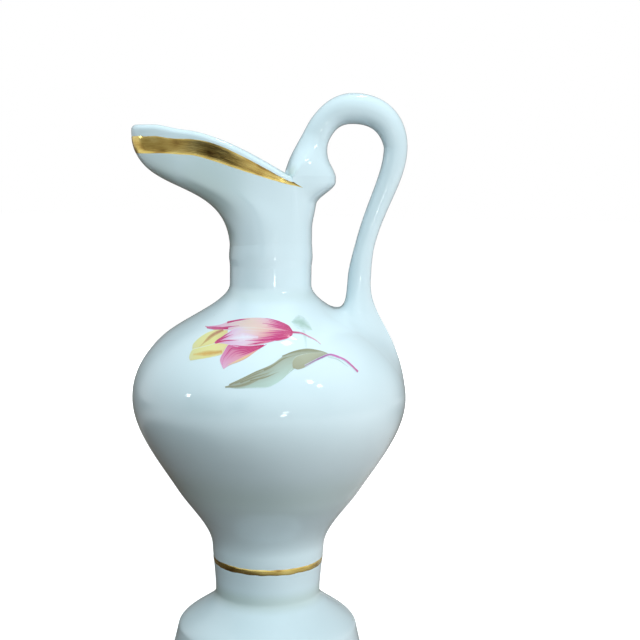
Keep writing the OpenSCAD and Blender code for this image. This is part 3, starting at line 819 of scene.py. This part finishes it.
def make_tail_slip():
    """Slip under the handle's foot, wiped out to a feather edge all round it."""
    steps, sunk = 20, -0.2
    rings = [[slip_point(q, k / steps) for q in TURNS] for k in range(1, steps + 1)]
    rings += [[tail_point(q, s, sunk) for q in TURNS] for s in (1, BED_SHARE, BED_SHARE / 2)]
    ends = [slip_point(0, 0), tail_point(0, 0, sunk)]
    settle(ring_piece("handle_tail_slip", rings, PORCELAIN, ends), "slip", "handle_tail_slip")


def make_root_slip():
    """Nose of slip pushed up under the root, its edges wiped out on the neck."""
    rows, columns = 40, 72
    edge, sunk, depth = 4, 0.02, 0.6
    outer, inner = [], []
    for j in range(rows + 1):
        z = blend(NOSE_LOW.z, SEAT_Z, j / rows)
        outer.append([])
        inner.append([])
        for i in range(columns + 1):
            a = blend(-NOSE_HALF_ANGLE - edge, NOSE_HALF_ANGLE + edge, i / columns)
            out = nose_out(a, z)
            c, s = cos(radians(a)), sin(radians(a))
            r = NECK_R + out - sunk * (1 - smooth(4 * out))
            outer[-1].append((r * c, r * s, z))
            inner[-1].append(((NECK_R - depth) * c, (NECK_R - depth) * s, z))
    sheet = (inner, outer, PORCELAIN, lambda j, i: (0, 0))
    settle(film_piece("handle_root_slip", [sheet], [PORCELAIN]), "slip", "handle_root_slip")


make_handle()
make_tail_slip()
make_root_slip()


# Gold, brushed on in one stroke, so its edges waver a little
GOLD_END_ANGLE = 43
GOLD_TAIL_ANGLE = 56
GOLD_WAVER_ANGLE = 100
RIM_BAND_T = 3.6
# Depths of its upper and lower edge under the rim, how they grow to the tip, between which angles, and
# how they close in on each other beside the handle
BARE_RIM = 1.25
BARE_TIP, BARE_CLIMB = 1.2, (96, 128)
BARE_TAIL = 1.12
BAND_SIDE, BAND_FRONT, BAND_CLIMB = 1.95, 5.1, (58, 104)
BAND_TIP, BAND_TIP_CLIMB = 1.0, (108, 135)
BAND_TAIL = 0.45


def waver(along, seed):
    """Small wandering of a brushed edge, about from -1 to 1."""
    slow = noise.noise(Vector((along * 0.22, seed, 0.5)))
    return slow + 0.4 * noise.noise(Vector((along * 0.9, seed, 7.5)))


def make_waist_gilding():
    columns, rows = 240, 6
    wander, wander_r = 0.14, 6
    low, high, upper, lower = LINE_LOW.z, LINE_HIGH.z, [], []
    for i in range(columns + 1):
        a = tau * (i % columns) / columns
        c, s = cos(a), sin(a)
        seam = Vector((c, s)) * wander_r
        bottom = low + wander * noise.noise(Vector((seam.x, seam.y, 1)))
        top = high + wander * noise.noise(Vector((seam.x, seam.y, 9)))
        upper.append([])
        lower.append([])
        for j in range(rows + 1):
            z = blend(bottom, top, j / rows)
            face = outline_r(z) + FILM_T * (1 - abs(2 * j / rows - 1) ** 4)
            back = outline_r(z) - GOLD_SUNK
            upper[-1].append((face * c, face * s, z))
            lower[-1].append((back * c, back * s, z))
    length = tau * outline_r(low)

    def uv(j, i):
        return (length * j / columns, (high - low) * i / rows)

    settle(film_piece("waist_gilding", [(lower, upper, GOLD, uv)], [GOLD]), "gilding", "waist_gilding")


def gold_edges(a):
    """Heights of the lower and the upper edge of the gold band, which is widest at the tip and runs out to
    a point beside the handle."""
    tail = max(0.0, (GOLD_TAIL_ANGLE - abs(a)) / (GOLD_TAIL_ANGLE - GOLD_END_ANGLE))
    bare = BARE_RIM + BARE_TIP * climb(a, *BARE_CLIMB) + BARE_TAIL * tail
    band = blend(BAND_SIDE, BAND_FRONT, climb(a, *BAND_CLIMB))
    low = band + BAND_TIP * climb(a, *BAND_TIP_CLIMB) + BAND_TAIL * tail
    return rim_z(a) - low, rim_z(a) - bare


def gilded_point(a, z, lift):
    """Point of the spout's wall, or of the nose of slip beside the handle, lifted off it."""
    t = share_at(a, z)
    away = Vector((cos(radians(a)), sin(radians(a)), 0))
    return spout_point(a, t) + away * nose_out(a, z) + spout_normal(a, t) * lift


def make_rim_gilding():
    columns, rows = 240, 12
    wander, wander_step, edge_t = 0.1, 0.35, 0.01
    upper, lower, reach, walked = [], [], [0.0], 0.0
    for i in range(columns + 1):
        a = blend(GOLD_END_ANGLE, 360 - GOLD_END_ANGLE, i / columns)
        a = a if a <= 180 else a - 360
        low, high = gold_edges(a)
        share = climb(a, GOLD_END_ANGLE, GOLD_WAVER_ANGLE)
        low += wander * share * waver(i * wander_step, 3)
        high += wander * share * waver(i * wander_step, 11)
        heights = [blend(low, high, j / rows) for j in range(rows + 1)]
        rise = [edge_t + FILM_T * (1 - abs(2 * j / rows - 1) ** 6) for j in range(rows + 1)]
        upper.append([gilded_point(a, z, h) for z, h in zip(heights, rise)])
        lower.append([gilded_point(a, z, -GOLD_SUNK) for z in heights])
        if i:
            walked += (upper[i][0] - upper[i - 1][0]).length
            reach.append(walked)

    def uv(j, i):
        return (reach[j], RIM_BAND_T * i / rows)

    settle(film_piece("rim_gilding", [(lower, upper, GOLD, uv)], [GOLD]), "gilding", "rim_gilding")


make_waist_gilding()
make_rim_gilding()


# Printed tulip: each petal lies between an upper and a lower edge, from its base to its tip.
# Places are millimetres on the belly from the middle of the spray, sideways and up.
def flowing(points, count):
    """Points spaced evenly along a smooth line through a few given ones."""
    p = [Vector(q) for q in points]
    p = [2 * p[0] - p[1]] + p + [2 * p[-1] - p[-2]]
    fine, steps = [], 20
    for k in range(1, len(p) - 2):
        a, b, c, d = p[k - 1:k + 3]
        out, into = (c - a) / 6, (d - b) / 6
        fine += [bezier((b, b + out, c - into, c), s / steps) for s in range(steps)]
    fine.append(p[-2])
    walked = [0.0]
    for a, b in zip(fine, fine[1:]):
        walked.append(walked[-1] + (b - a).length)
    line, k = [], 0
    for i in range(count + 1):
        goal = walked[-1] * i / count
        while k < len(fine) - 2 and walked[k + 1] < goal:
            k += 1
        line.append(blend(fine[k], fine[k + 1], (goal - walked[k]) / (walked[k + 1] - walked[k])))
    return line


def printed(grid, finish, lift):
    """Sheet of colour over a grid of places on the belly, at a height off the glaze."""
    lower, upper = (
        [[on_wall(PRINT_Z + p.y, p.x, height, "front") for p in row] for row in grid]
        for height in (-PRINT_SUNK, lift)
    )
    rows, columns = len(grid) - 1, len(grid[0]) - 1
    return lower, upper, finish, lambda j, i: (j / rows, i / columns)


def petal(edges, finish, lift):
    """Film between an upper and a lower edge, both from the base to the tip."""
    rows, columns = 64, 14
    over, under = (flowing(edge, rows) for edge in edges)
    grid = [[blend(b, a, i / columns) for i in range(columns + 1)] for a, b in zip(over, under)]
    return printed(grid, finish, lift)


def stroke(line, widths, finish, lift):
    """A tapered stroke along a line: widths at its start, middle and end."""
    rows, columns = 28, 3
    spine = flowing(line, rows)
    start, middle, end = widths
    grid = []
    for j, p in enumerate(spine):
        d = (spine[min(rows, j + 1)] - spine[max(0, j - 1)]).normalized()
        t = j / rows
        half = (blend(start, middle, smooth(2 * t)) if t < 0.5 else blend(middle, end, smooth(2 * t - 1))) / 2
        across = Vector((-d.y, d.x)) * half
        grid.append([p + across * blend(-1, 1, i / columns) for i in range(columns + 1)])
    return printed(grid, finish, lift)


def vein(edges, across, start, end, width, finish, lift):
    """A fine stroke along a petal, at a share of the way across it, between two shares of its length."""
    fine, picks, hair = 48, 6, 0.04
    over, under = (flowing(edge, fine) for edge in edges)
    chosen = [round(fine * blend(start, end, k / picks)) for k in range(picks + 1)]
    line = [blend(under[i], over[i], across) for i in chosen]
    return stroke(line, (width, 0.75 * width, hair), finish, lift)


BASE = (5.3, 3.4)
UPPER_PETAL = (
    [BASE, (4.3, 4.5), (2.0, 5.4), (-0.6, 5.9), (-4.1, 5.8), (-7.7, 5.1), (-9.9, 4.3), (-13.0, 3.7)],
    [BASE, (2.1, 3.6), (-2.9, 3.8), (-6.2, 3.7), (-8.1, 3.5), (-11.9, 3.4), (-13.0, 3.7)],
)
FRONT_PETAL = (
    [BASE, (2.1, 3.9), (-2.9, 4.2), (-6.2, 4.0), (-8.1, 3.0), (-9.5, 2.0), (-10.7, 1.1)],
    [BASE, (5.0, 2.9), (2.7, 2.2), (-0.2, 1.5), (-3.6, 0.9), (-5.8, 0.8), (-7.6, 1.1), (-9.1, 1.2),
     (-10.7, 1.1)],
)
LOWER_PETAL = (
    [(0.3, 1.4), (-1.6, 1.0), (-4.1, 0.9), (-6.8, 1.1), (-7.7, 1.0), (-8.5, -0.3), (-9.1, -1.6), (-8.6, -2.8),
     (-8.2, -3.3)],
    [(0.3, 1.4), (-1.1, 0.6), (-2.1, 0.0), (-3.9, -1.1), (-5.6, -1.9), (-7.3, -2.7), (-8.2, -3.3)],
)
YELLOW_UPPER = (
    [(-8.1, 3.8), (-9.8, 3.6), (-11.3, 3.3), (-13.5, 2.2), (-15.1, 0.7), (-15.2, -0.4)],
    [(-7.9, 2.4), (-9.3, 1.4), (-10.7, 0.6), (-12.1, 0.3), (-13.7, -0.2), (-15.2, -0.4)],
)
YELLOW_LOWER = (
    [(-7.2, 1.9), (-8.9, 1.5), (-10.3, 1.2), (-11.9, 0.7), (-13.9, 0.1), (-15.2, -0.4), (-15.7, -1.7),
     (-15.4, -2.3)],
    [(-8.4, -0.4), (-9.2, -0.9), (-12.4, -1.7), (-14.2, -2.1), (-15.4, -2.3)],
)
LEAF = (
    [(-7.7, -6.5), (-4.7, -5.0), (-1.4, -3.3), (1.4, -2.1), (3.8, -0.5), (5.7, 0.1), (8.4, 0.4), (11.1, 0.0),
     (12.7, -0.6)],
    [(-7.7, -6.5), (-5.4, -6.7), (-2.2, -6.5), (0.6, -6.4), (2.5, -5.6), (4.2, -4.3), (5.2, -3.1),
     (5.6, -2.8)],
)
LEAF_FOLD = (
    [(5.6, -2.8), (5.5, -1.7), (6.2, -0.8), (8.4, -0.3), (11.1, -0.3), (12.7, -0.6)],
    [(5.6, -2.8), (6.9, -3.1), (8.7, -2.5), (10.4, -1.6), (12.1, -0.9), (12.7, -0.6)],
)
SMUDGE = (
    [(4.9, 5.2), (6.4, 6.4), (8.4, 5.2), (9.4, 3.6)],
    [(4.9, 5.2), (6.0, 4.2), (7.6, 3.7), (9.4, 3.6)],
)


# Colours are given from base to tip. The last number of a sheet is its height, so later ones lie on top.
def make_pink_print():
    upper_pink = enamel(
        "pink_enamel_upper_petal",
        over=[(0.0, "#C93A6E"), (0.17, "#DB80A6"), (0.32, "#DDB6C8"), (0.5, "#DEC9BE"), (0.68, "#DCC8CE"),
              (0.85, "#D9A6C6"), (1.0, "#CE62A0")],
        under=[(0.0, "#CC4470"), (0.14, "#D78FA4"), (0.35, "#E0C5B4"), (0.6, "#DDC9C8"), (0.8, "#DAB6D0"),
               (1.0, "#D067A6")],
        fade=0.04)
    front_pink = enamel(
        "pink_enamel_front_petal",
        over=[(0.0, "#CE3F70"), (0.16, "#DA8CA2"), (0.36, "#DFC2B4"), (0.52, "#DFD0CA"), (0.68, "#DCC8DC"),
              (0.85, "#D9ACCE"), (1.0, "#CC6CA8")],
        under=[(0.0, "#CB3558"), (0.14, "#CB4068"), (0.3, "#D06A90"), (0.46, "#D898B4"), (0.62, "#DCC4D8"),
               (0.84, "#D8B4D4"), (1.0, "#D07FB6")],
        fade=0.02)
    lower_pink = enamel(
        "pink_enamel_lower_petal",
        over=[(0.0, "#C24478"), (0.4, "#C44A80"), (0.7, "#D078A8"), (1.0, "#DAA6CC")],
        under=[(0.0, "#D06F94"), (0.35, "#D88FA4"), (0.6, "#DA9CAE"), (1.0, "#D9B0CC")],
        fade=0.03)
    white_heart = enamel(
        "pale_enamel_petal_heart",
        [(0.0, "#DCC8D6"), (0.4, "#E0E2EE"), (1.0, "#DCC8DE")], fade=0.5, edge="#DCBCD0")
    peach = enamel(
        "peach_enamel_margin",
        [(0.0, "#DDAF92"), (0.6, "#E0C392"), (1.0, "#DCC0A8")], edge="#DAA0AE")
    ink = enamel(
        "magenta_enamel_strokes",
        [(0.0, "#BC3064"), (0.6, "#C24880"), (1.0, "#D07EAA")], edge="#D47CA6")
    stem = enamel("pink_enamel_stem", [(0.0, "#B5406F"), (0.4, "#CB789C"), (1.0, "#DDB2C4")])
    stalk = enamel(
        "purple_enamel_stalk",
        [(0.0, "#A39AA4"), (0.3, "#9A6AA0"), (0.55, "#C878B4"), (1.0, "#C45C98")])
    on_top = 0.08
    ink_width = 0.32
    sheets = [
        petal(UPPER_PETAL, upper_pink, 0.035),
        petal(LOWER_PETAL, lower_pink, 0.05),
        petal(FRONT_PETAL, front_pink, 0.065),
        stroke([(-1.6, 2.5), (-4.0, 2.5), (-6.4, 2.2), (-8.4, 1.7)], (0.5, 1.5, 0.3), white_heart, 0.07),
        stroke([(-1.6, 0.35), (-3.6, -0.8), (-5.6, -1.75), (-7.3, -2.5)], (0.1, 0.5, 0.2), peach, 0.06),
        stroke([(-8.0, 3.8), (-9.8, 3.7), (-11.6, 3.6), (-13.1, 3.75)], (0.3, 0.5, 0.06), ink, on_top),
        stroke(
            [BASE, (4.6, 2.75), (2.7, 2.3), (0.7, 2.2), (-1.7, 2.0), (-4.2, 1.9)],
            (0.5, 0.5, 0.05), ink, on_top),
        stroke([(-0.2, 1.75), (-1.7, 1.5), (-3.6, 1.2)], (0.1, 0.26, 0.05), ink, on_top),
        stroke([BASE, (7.1, 3.2), (8.6, 2.6), (10.1, 1.9), (11.1, 1.2)], (0.42, 0.28, 0.14), stem, on_top),
        stroke(
            [(8.0, -2.5), (10.4, -1.5), (12.1, -0.9), (13.3, -0.8), (15.5, -1.6), (17.0, -2.6), (18.8, -4.3)],
            (0.4, 0.42, 0.4), stalk, on_top),
    ]
    upper_veins = [
        (0.97, 0.0, 0.34), (0.84, 0.02, 0.3), (0.7, 0.0, 0.27), (0.55, 0.02, 0.36), (0.4, 0.0, 0.3),
        (0.9, 0.74, 0.5), (0.35, 0.97, 0.6)]
    front_veins = [
        (0.85, 0.0, 0.3), (0.68, 0.0, 0.42), (0.52, 0.02, 0.34), (0.38, 0.0, 0.5), (0.26, 0.04, 0.38),
        (0.7, 0.98, 0.72), (0.35, 0.97, 0.66), (0.9, 0.95, 0.74)]
    lower_veins = [
        (0.95, 0.1, 0.62), (0.82, 0.08, 0.7), (0.68, 0.06, 0.74), (0.54, 0.08, 0.8), (0.4, 0.1, 0.7),
        (0.26, 0.14, 0.62), (0.75, 0.3, 0.92)]
    for edges, veins in ((UPPER_PETAL, upper_veins), (FRONT_PETAL, front_veins), (LOWER_PETAL, lower_veins)):
        sheets += [vein(edges, *place, ink_width, ink, on_top) for place in veins]
    finishes = [upper_pink, front_pink, lower_pink, white_heart, peach, ink, stem, stalk]
    settle(film_piece("pink_print", sheets, finishes), "pink_enamel", "pink_print")


def make_yellow_print():
    yellow = enamel(
        "yellow_enamel_petals",
        over=[(0.0, "#DCCF98"), (0.3, "#E1DF9C"), (0.75, "#DDDC98"), (1.0, "#D4D8AC")],
        under=[(0.0, "#DACB9A"), (0.4, "#DFD990"), (1.0, "#D8D294")],
        fade=0.06)
    orange = enamel(
        "orange_enamel_streaks",
        [(0.0, "#CBA25C"), (0.6, "#D3AC5E"), (1.0, "#DCC678")], fade=0.4, edge="#DCD28C")
    brown = enamel(
        "brown_enamel_streaks",
        [(0.0, "#B0706A"), (0.5, "#B48E5C"), (1.0, "#CDB872")], fade=0.4, edge="#DACE8C")
    sheets = [
        petal(YELLOW_UPPER, yellow, 0.02),
        petal(YELLOW_LOWER, yellow, 0.028),
        stroke([(-8.8, -0.2), (-11.0, -0.6), (-13.0, -0.9), (-14.8, -1.2)], (0.6, 1.0, 0.3), orange, 0.045),
        stroke([(-9.0, 3.5), (-10.9, 2.6), (-12.1, 1.7), (-13.7, 0.2)], (0.6, 0.7, 0.06), brown, 0.045),
    ]
    settle(film_piece("yellow_print", sheets, [yellow, orange, brown]), "yellow_enamel", "yellow_print")


def make_green_print():
    leaf = enamel(
        "green_enamel_leaf",
        over=[(0.0, "#8C8F7E"), (0.3, "#9EA393"), (0.6, "#A4AB9D"), (0.85, "#A0A491"), (1.0, "#A4A992")],
        under=[(0.0, "#9CA698"), (0.3, "#B2C9C0"), (0.7, "#BFDAD4"), (1.0, "#B2C6BC")],
        fade=0.05)
    fold = enamel(
        "olive_enamel_leaf_fold",
        over=[(0.0, "#A3A690"), (0.4, "#B2B8A4"), (1.0, "#ACB09C")],
        under=[(0.0, "#A2A38C"), (0.5, "#A5A894"), (1.0, "#9C9F8C")],
        fade=0.03)
    olive = enamel(
        "olive_enamel_strokes",
        [(0.0, "#8B8B72"), (0.6, "#94967E"), (1.0, "#A9AE9A")], fade=0.4, edge="#A6AC9C")
    smear = enamel(
        "pale_green_enamel_smear",
        over=[(0.0, "#B6D0CA"), (0.5, "#A9C5BE"), (1.0, "#BCD5D0")],
        under=[(0.0, "#B6D0CA"), (0.5, "#A4C1B8"), (1.0, "#BCD5D0")],
        fade=0.5)
    faint = enamel(
        "faint_green_enamel_smear", [(0.0, "#BED6D2"), (0.5, "#C4DADA"), (1.0, "#CFE3E6")], fade=0.5)
    on_top = 0.06
    olive_width = 0.4
    sheets = [
        petal(SMUDGE, smear, 0.02),
        petal(LEAF, leaf, 0.03),
        petal(LEAF_FOLD, fold, 0.045),
        stroke([(7.5, 3.8), (8.0, 2.2), (8.2, 0.6)], (0.8, 0.7, 0.5), faint, 0.02),
        stroke([(12.6, -1.1), (14.6, -1.7), (16.8, -3.2)], (0.25, 0.2, 0.1), smear, 0.02),
        stroke([(-7.7, -6.5), (-4.6, -6.1), (-1.6, -5.0), (1.0, -3.7)], (0.3, 0.6, 0.06), olive, on_top),
        stroke(
            [(3.4, -0.7), (5.7, 0.0), (8.4, 0.3), (11.1, -0.05), (12.7, -0.6)],
            (0.2, 0.5, 0.14), olive, on_top),
    ]
    veins = [(0.94, 0.04, 0.6), (0.8, 0.1, 0.5), (0.62, 0.16, 0.55), (0.86, 0.4, 0.75), (0.45, 0.3, 0.62)]
    sheets += [vein(LEAF, *place, olive_width, olive, on_top) for place in veins]
    finishes = [smear, faint, leaf, fold, olive]
    settle(film_piece("green_print", sheets, finishes), "green_enamel", "green_print")


make_pink_print()
make_yellow_print()
make_green_print()


# Camera, as the photograph was taken
IMAGE_PX = 640
FOCAL_PX = 1244
SENSOR_MM = 36
CAMERA_AT = Vector((10.9, -270.9, 112.8))
CAMERA_DOWN = 6.67
CAMERA_ROLL = 0.8


def make_camera():
    data = bpy.data.cameras.new("camera")
    data.sensor_width = SENSOR_MM
    data.lens = FOCAL_PX / IMAGE_PX * SENSOR_MM
    data.clip_start = 10 * MM
    camera = new_object("camera", data)
    tilt = Matrix.Rotation(radians(90 - CAMERA_DOWN), 4, "X")
    roll = Matrix.Rotation(radians(CAMERA_ROLL), 4, "Z")
    camera.matrix_world = Matrix.Translation(CAMERA_AT * MM) @ tilt @ roll
    bpy.context.scene.camera = camera


# Studio: a white floor and background, soft lamps all round, and cards and small lamps that the glaze mirrors
FLOOR_HALF = 3000
FLOOR_CARD_Z = 4
DARK = "#0A0A0A"
BACK_GREY = "#6E665C"


def seen_directly(tree):
    """1 for rays from the camera, a mirror or glass, and 0 for light that bounces off matt things."""
    path = add(tree, "ShaderNodeLightPath").outputs
    seen = path["Is Camera Ray"]
    for ray in ("Is Glossy Ray", "Is Transmission Ray"):
        seen = add(tree, "ShaderNodeMath", {0: seen, 1: path[ray]}, operation="MAXIMUM")
    return seen


def level(x, y, half_x, half_y, z):
    """Corners of a level sheet round a place."""
    return [(x + i * half_x, y + j * half_y, z) for i, j in ((-1, -1), (1, -1), (1, 1), (-1, 1))]


def upright(x0, y0, x1, y1, low=-400, high=600):
    """Corners of an upright sheet between two places."""
    return [(x0, y0, low), (x1, y1, low), (x1, y1, high), (x0, y0, high)]


def stage_plane(name, corners, material):
    """A flat sheet of the studio, which is no part of the ewer."""
    mesh = bpy.data.meshes.new(name)
    mesh.from_pydata([tuple(Vector(c) * MM) for c in corners], [], [(0, 1, 2, 3)])
    mesh.materials.append(material)
    plane = new_object(name, mesh)
    return plane


def make_floor():
    """White paper that is seen whiter further off, up to the white of the background, and that throws
    less light on the ewer than it shows."""
    material, tree = new_material("white_paper_sweep")
    paper = add(tree, "ShaderNodeBsdfDiffuse", {"Color": "#F4F6F7"})
    place = add(tree, "ShaderNodeTexCoord").outputs["Object"]
    away = add(tree, "ShaderNodeVectorMath", {0: place}, operation="LENGTH").outputs["Value"]
    shine = add(tree, "ShaderNodeMapRange", {
        "Value": away, "From Min": 100 * MM, "From Max": 800 * MM, "To Min": 0.4, "To Max": 1.0})
    glow = add(tree, "ShaderNodeEmission", {"Color": "#FFFFFF", "Strength": shine})
    bright = add(tree, "ShaderNodeAddShader", {0: paper, 1: glow})
    bounce = add(tree, "ShaderNodeBsdfDiffuse", {"Color": "#60524A"})
    mixed = add(tree, "ShaderNodeMixShader", {0: seen_directly(tree), 1: bounce, 2: bright})
    add(tree, "ShaderNodeOutputMaterial", {"Surface": mixed})
    stage_plane("floor", level(0, 0, FLOOR_HALF, FLOOR_HALF, 0), material)


def soft_edges(tree):
    """1 in the middle of a card, falling off smoothly to 0 at its edges."""
    core, rim = 0.2, 0.5
    uv = add(tree, "ShaderNodeUVMap", uv_map="card")
    middle = add(tree, "ShaderNodeVectorMath", {0: uv, 1: (0.5, 0.5, 0.0)}, operation="SUBTRACT")
    off = add(tree, "ShaderNodeVectorMath", {0: middle}, operation="ABSOLUTE")
    split = add(tree, "ShaderNodeSeparateXYZ", {"Vector": off}).outputs
    solid = 1.0
    for side in ("X", "Y"):
        solid = add(tree, "ShaderNodeMapRange", {
            "Value": split[side], "From Min": core, "From Max": rim, "To Min": solid, "To Max": 0.0},
            interpolation_type="SMOOTHSTEP")
    return solid


def soft_spot(tree, x, y):
    """1 near a place on the floor, falling off as evenly as the glaze mirrors it, whatever the distance."""
    far, near = 0.31, 0.84
    place = add(tree, "ShaderNodeTexCoord").outputs["Object"]
    middle = Vector((x, y, FLOOR_CARD_Z)) * MM
    away = add(tree, "ShaderNodeVectorMath", {0: place, 1: middle}, operation="DISTANCE").outputs["Value"]
    steepness = add(tree, "ShaderNodeMath", {0: BELLY_Z * MM, 1: away}, operation="DIVIDE")
    return add(tree, "ShaderNodeMapRange", {
        "Value": steepness, "From Min": far, "From Max": near}, interpolation_type="SMOOTHSTEP")


def make_card(name, corners, colour, spot=None):
    """A card out of the picture with a soft edge, that only the glaze and the gold mirror."""
    material, tree = new_material("card_" + name)
    solid = soft_spot(tree, *spot) if spot else soft_edges(tree)
    clear = add(tree, "ShaderNodeBsdfTransparent")
    paper = add(tree, "ShaderNodeEmission", {"Color": colour, "Strength": 1.0})
    mixed = add(tree, "ShaderNodeMixShader", {0: solid, 1: clear, 2: paper})
    add(tree, "ShaderNodeOutputMaterial", {"Surface": mixed})
    card = stage_plane(name, corners, material)
    layer = card.data.uv_layers.new(name="card")
    for k, place in enumerate(((0, 0), (1, 0), (1, 1), (0, 1))):
        layer.data[k].uv = place
    card.visible_camera = card.visible_shadow = card.visible_diffuse = False


def make_cards():
    make_card("right_card", upright(320, -500, 320, 700, 0, 900), DARK)
    make_card("back_card", upright(-700, 420, 700, 420), BACK_GREY)
    make_card("back_floor_card", level(-100, 330, 600, 330, FLOOR_CARD_Z + 1), BACK_GREY)
    make_card("ceiling_card", level(375, 0, 725, 900, 520), DARK)
    make_card("table_card", level(-60, 30, 700, 700, FLOOR_CARD_Z), "#635E57", spot=(-60, 30))
    make_card("gold_dark_card", upright(-300, -460, -90, -460, 30, 290), "#14110C")
    make_card("gold_grey_card", upright(-520, -130, -230, -470, -40, 280), "#A8A498")


def make_world():
    world = bpy.data.worlds.new("studio")
    world.use_nodes = True
    tree = world.node_tree
    tree.nodes.clear()
    white = add(tree, "ShaderNodeBackground", {"Color": "#FFFFFF", "Strength": 1.0})
    fill = add(tree, "ShaderNodeBackground", {"Color": "#EAF3F8", "Strength": 0.02})
    mixed = add(tree, "ShaderNodeMixShader", {0: seen_directly(tree), 1: fill, 2: white})
    add(tree, "ShaderNodeOutputWorld", {"Surface": mixed})
    bpy.context.scene.world = world


LAMP_TINT = (0.96, 0.99, 1.0)
COOL_TINT = (0.85, 0.97, 1.0)
WARM_TINT = (1.0, 0.98, 0.97)
LAMP_AIM = Vector((0, 0, 70))
SOFTBOX_AWAY = 520
SOFTBOX_SIZE = 340
PIN_AWAY = 400


def lamp(name, azimuth, elevation, away, energy, size, mirrored, tint=LAMP_TINT, length=None):
    """A square or long lamp, aimed at the belly: azimuth from the front towards the handle, in degrees."""
    a, e = radians(azimuth), radians(elevation)
    at = LAMP_AIM + Vector((sin(a) * cos(e), -cos(a) * cos(e), sin(e))) * away
    data = bpy.data.lights.new(name, "AREA")
    data.energy = energy
    data.color = tint
    data.size = size * MM
    if length:
        data.shape = "RECTANGLE"
        data.size_y = length * MM
    light = new_object(name, data)
    light.location = at * MM
    light.rotation_euler = (LAMP_AIM - at).to_track_quat("-Z", "Y").to_euler()
    light.visible_camera = False
    light.visible_glossy = mirrored


def softbox(name, azimuth, elevation, energy, tint=LAMP_TINT):
    """A large soft lamp, which lights the ewer and isn't mirrored."""
    lamp("softbox_" + name, azimuth, elevation, SOFTBOX_AWAY, energy, SOFTBOX_SIZE, False, tint)


def pin_lamp(name, azimuth, elevation, size, energy, length=None):
    """A small lamp that the glaze mirrors as a glint."""
    lamp("pin_" + name, azimuth, elevation, PIN_AWAY, energy, size, True, length=length)


def make_lights():
    softbox("left", -80, 50, 0.8, COOL_TINT)
    softbox("front", 10, 20, 1.6, COOL_TINT)
    softbox("front_high", 40, 50, 0.12, COOL_TINT)
    softbox("right", 70, 20, 1.2, WARM_TINT)
    softbox("back_right", 105, 20, 0.33)
    softbox("above_left", -90, 78, 1.05)
    softbox("back", 180, 16, 1.0)
    pin_lamp("right", 43, 43, 30, 0.06)
    pin_lamp("right_small", 49, 36, 22, 0.03)
    pin_lamp("above", 140, 78, 30, 0.057)
    pin_lamp("behind", 149, 70, 30, 0.057)
    pin_lamp("left", -67, 15, 24, 0.04)
    pin_lamp("front", 13, -2, 24, 0.026, 14)
    pin_lamp("front_high", 14.5, 2, 22, 0.01, 5)


make_camera()
make_floor()
make_cards()
make_world()
make_lights()
bpy.context.scene.view_settings.view_transform = "Standard"
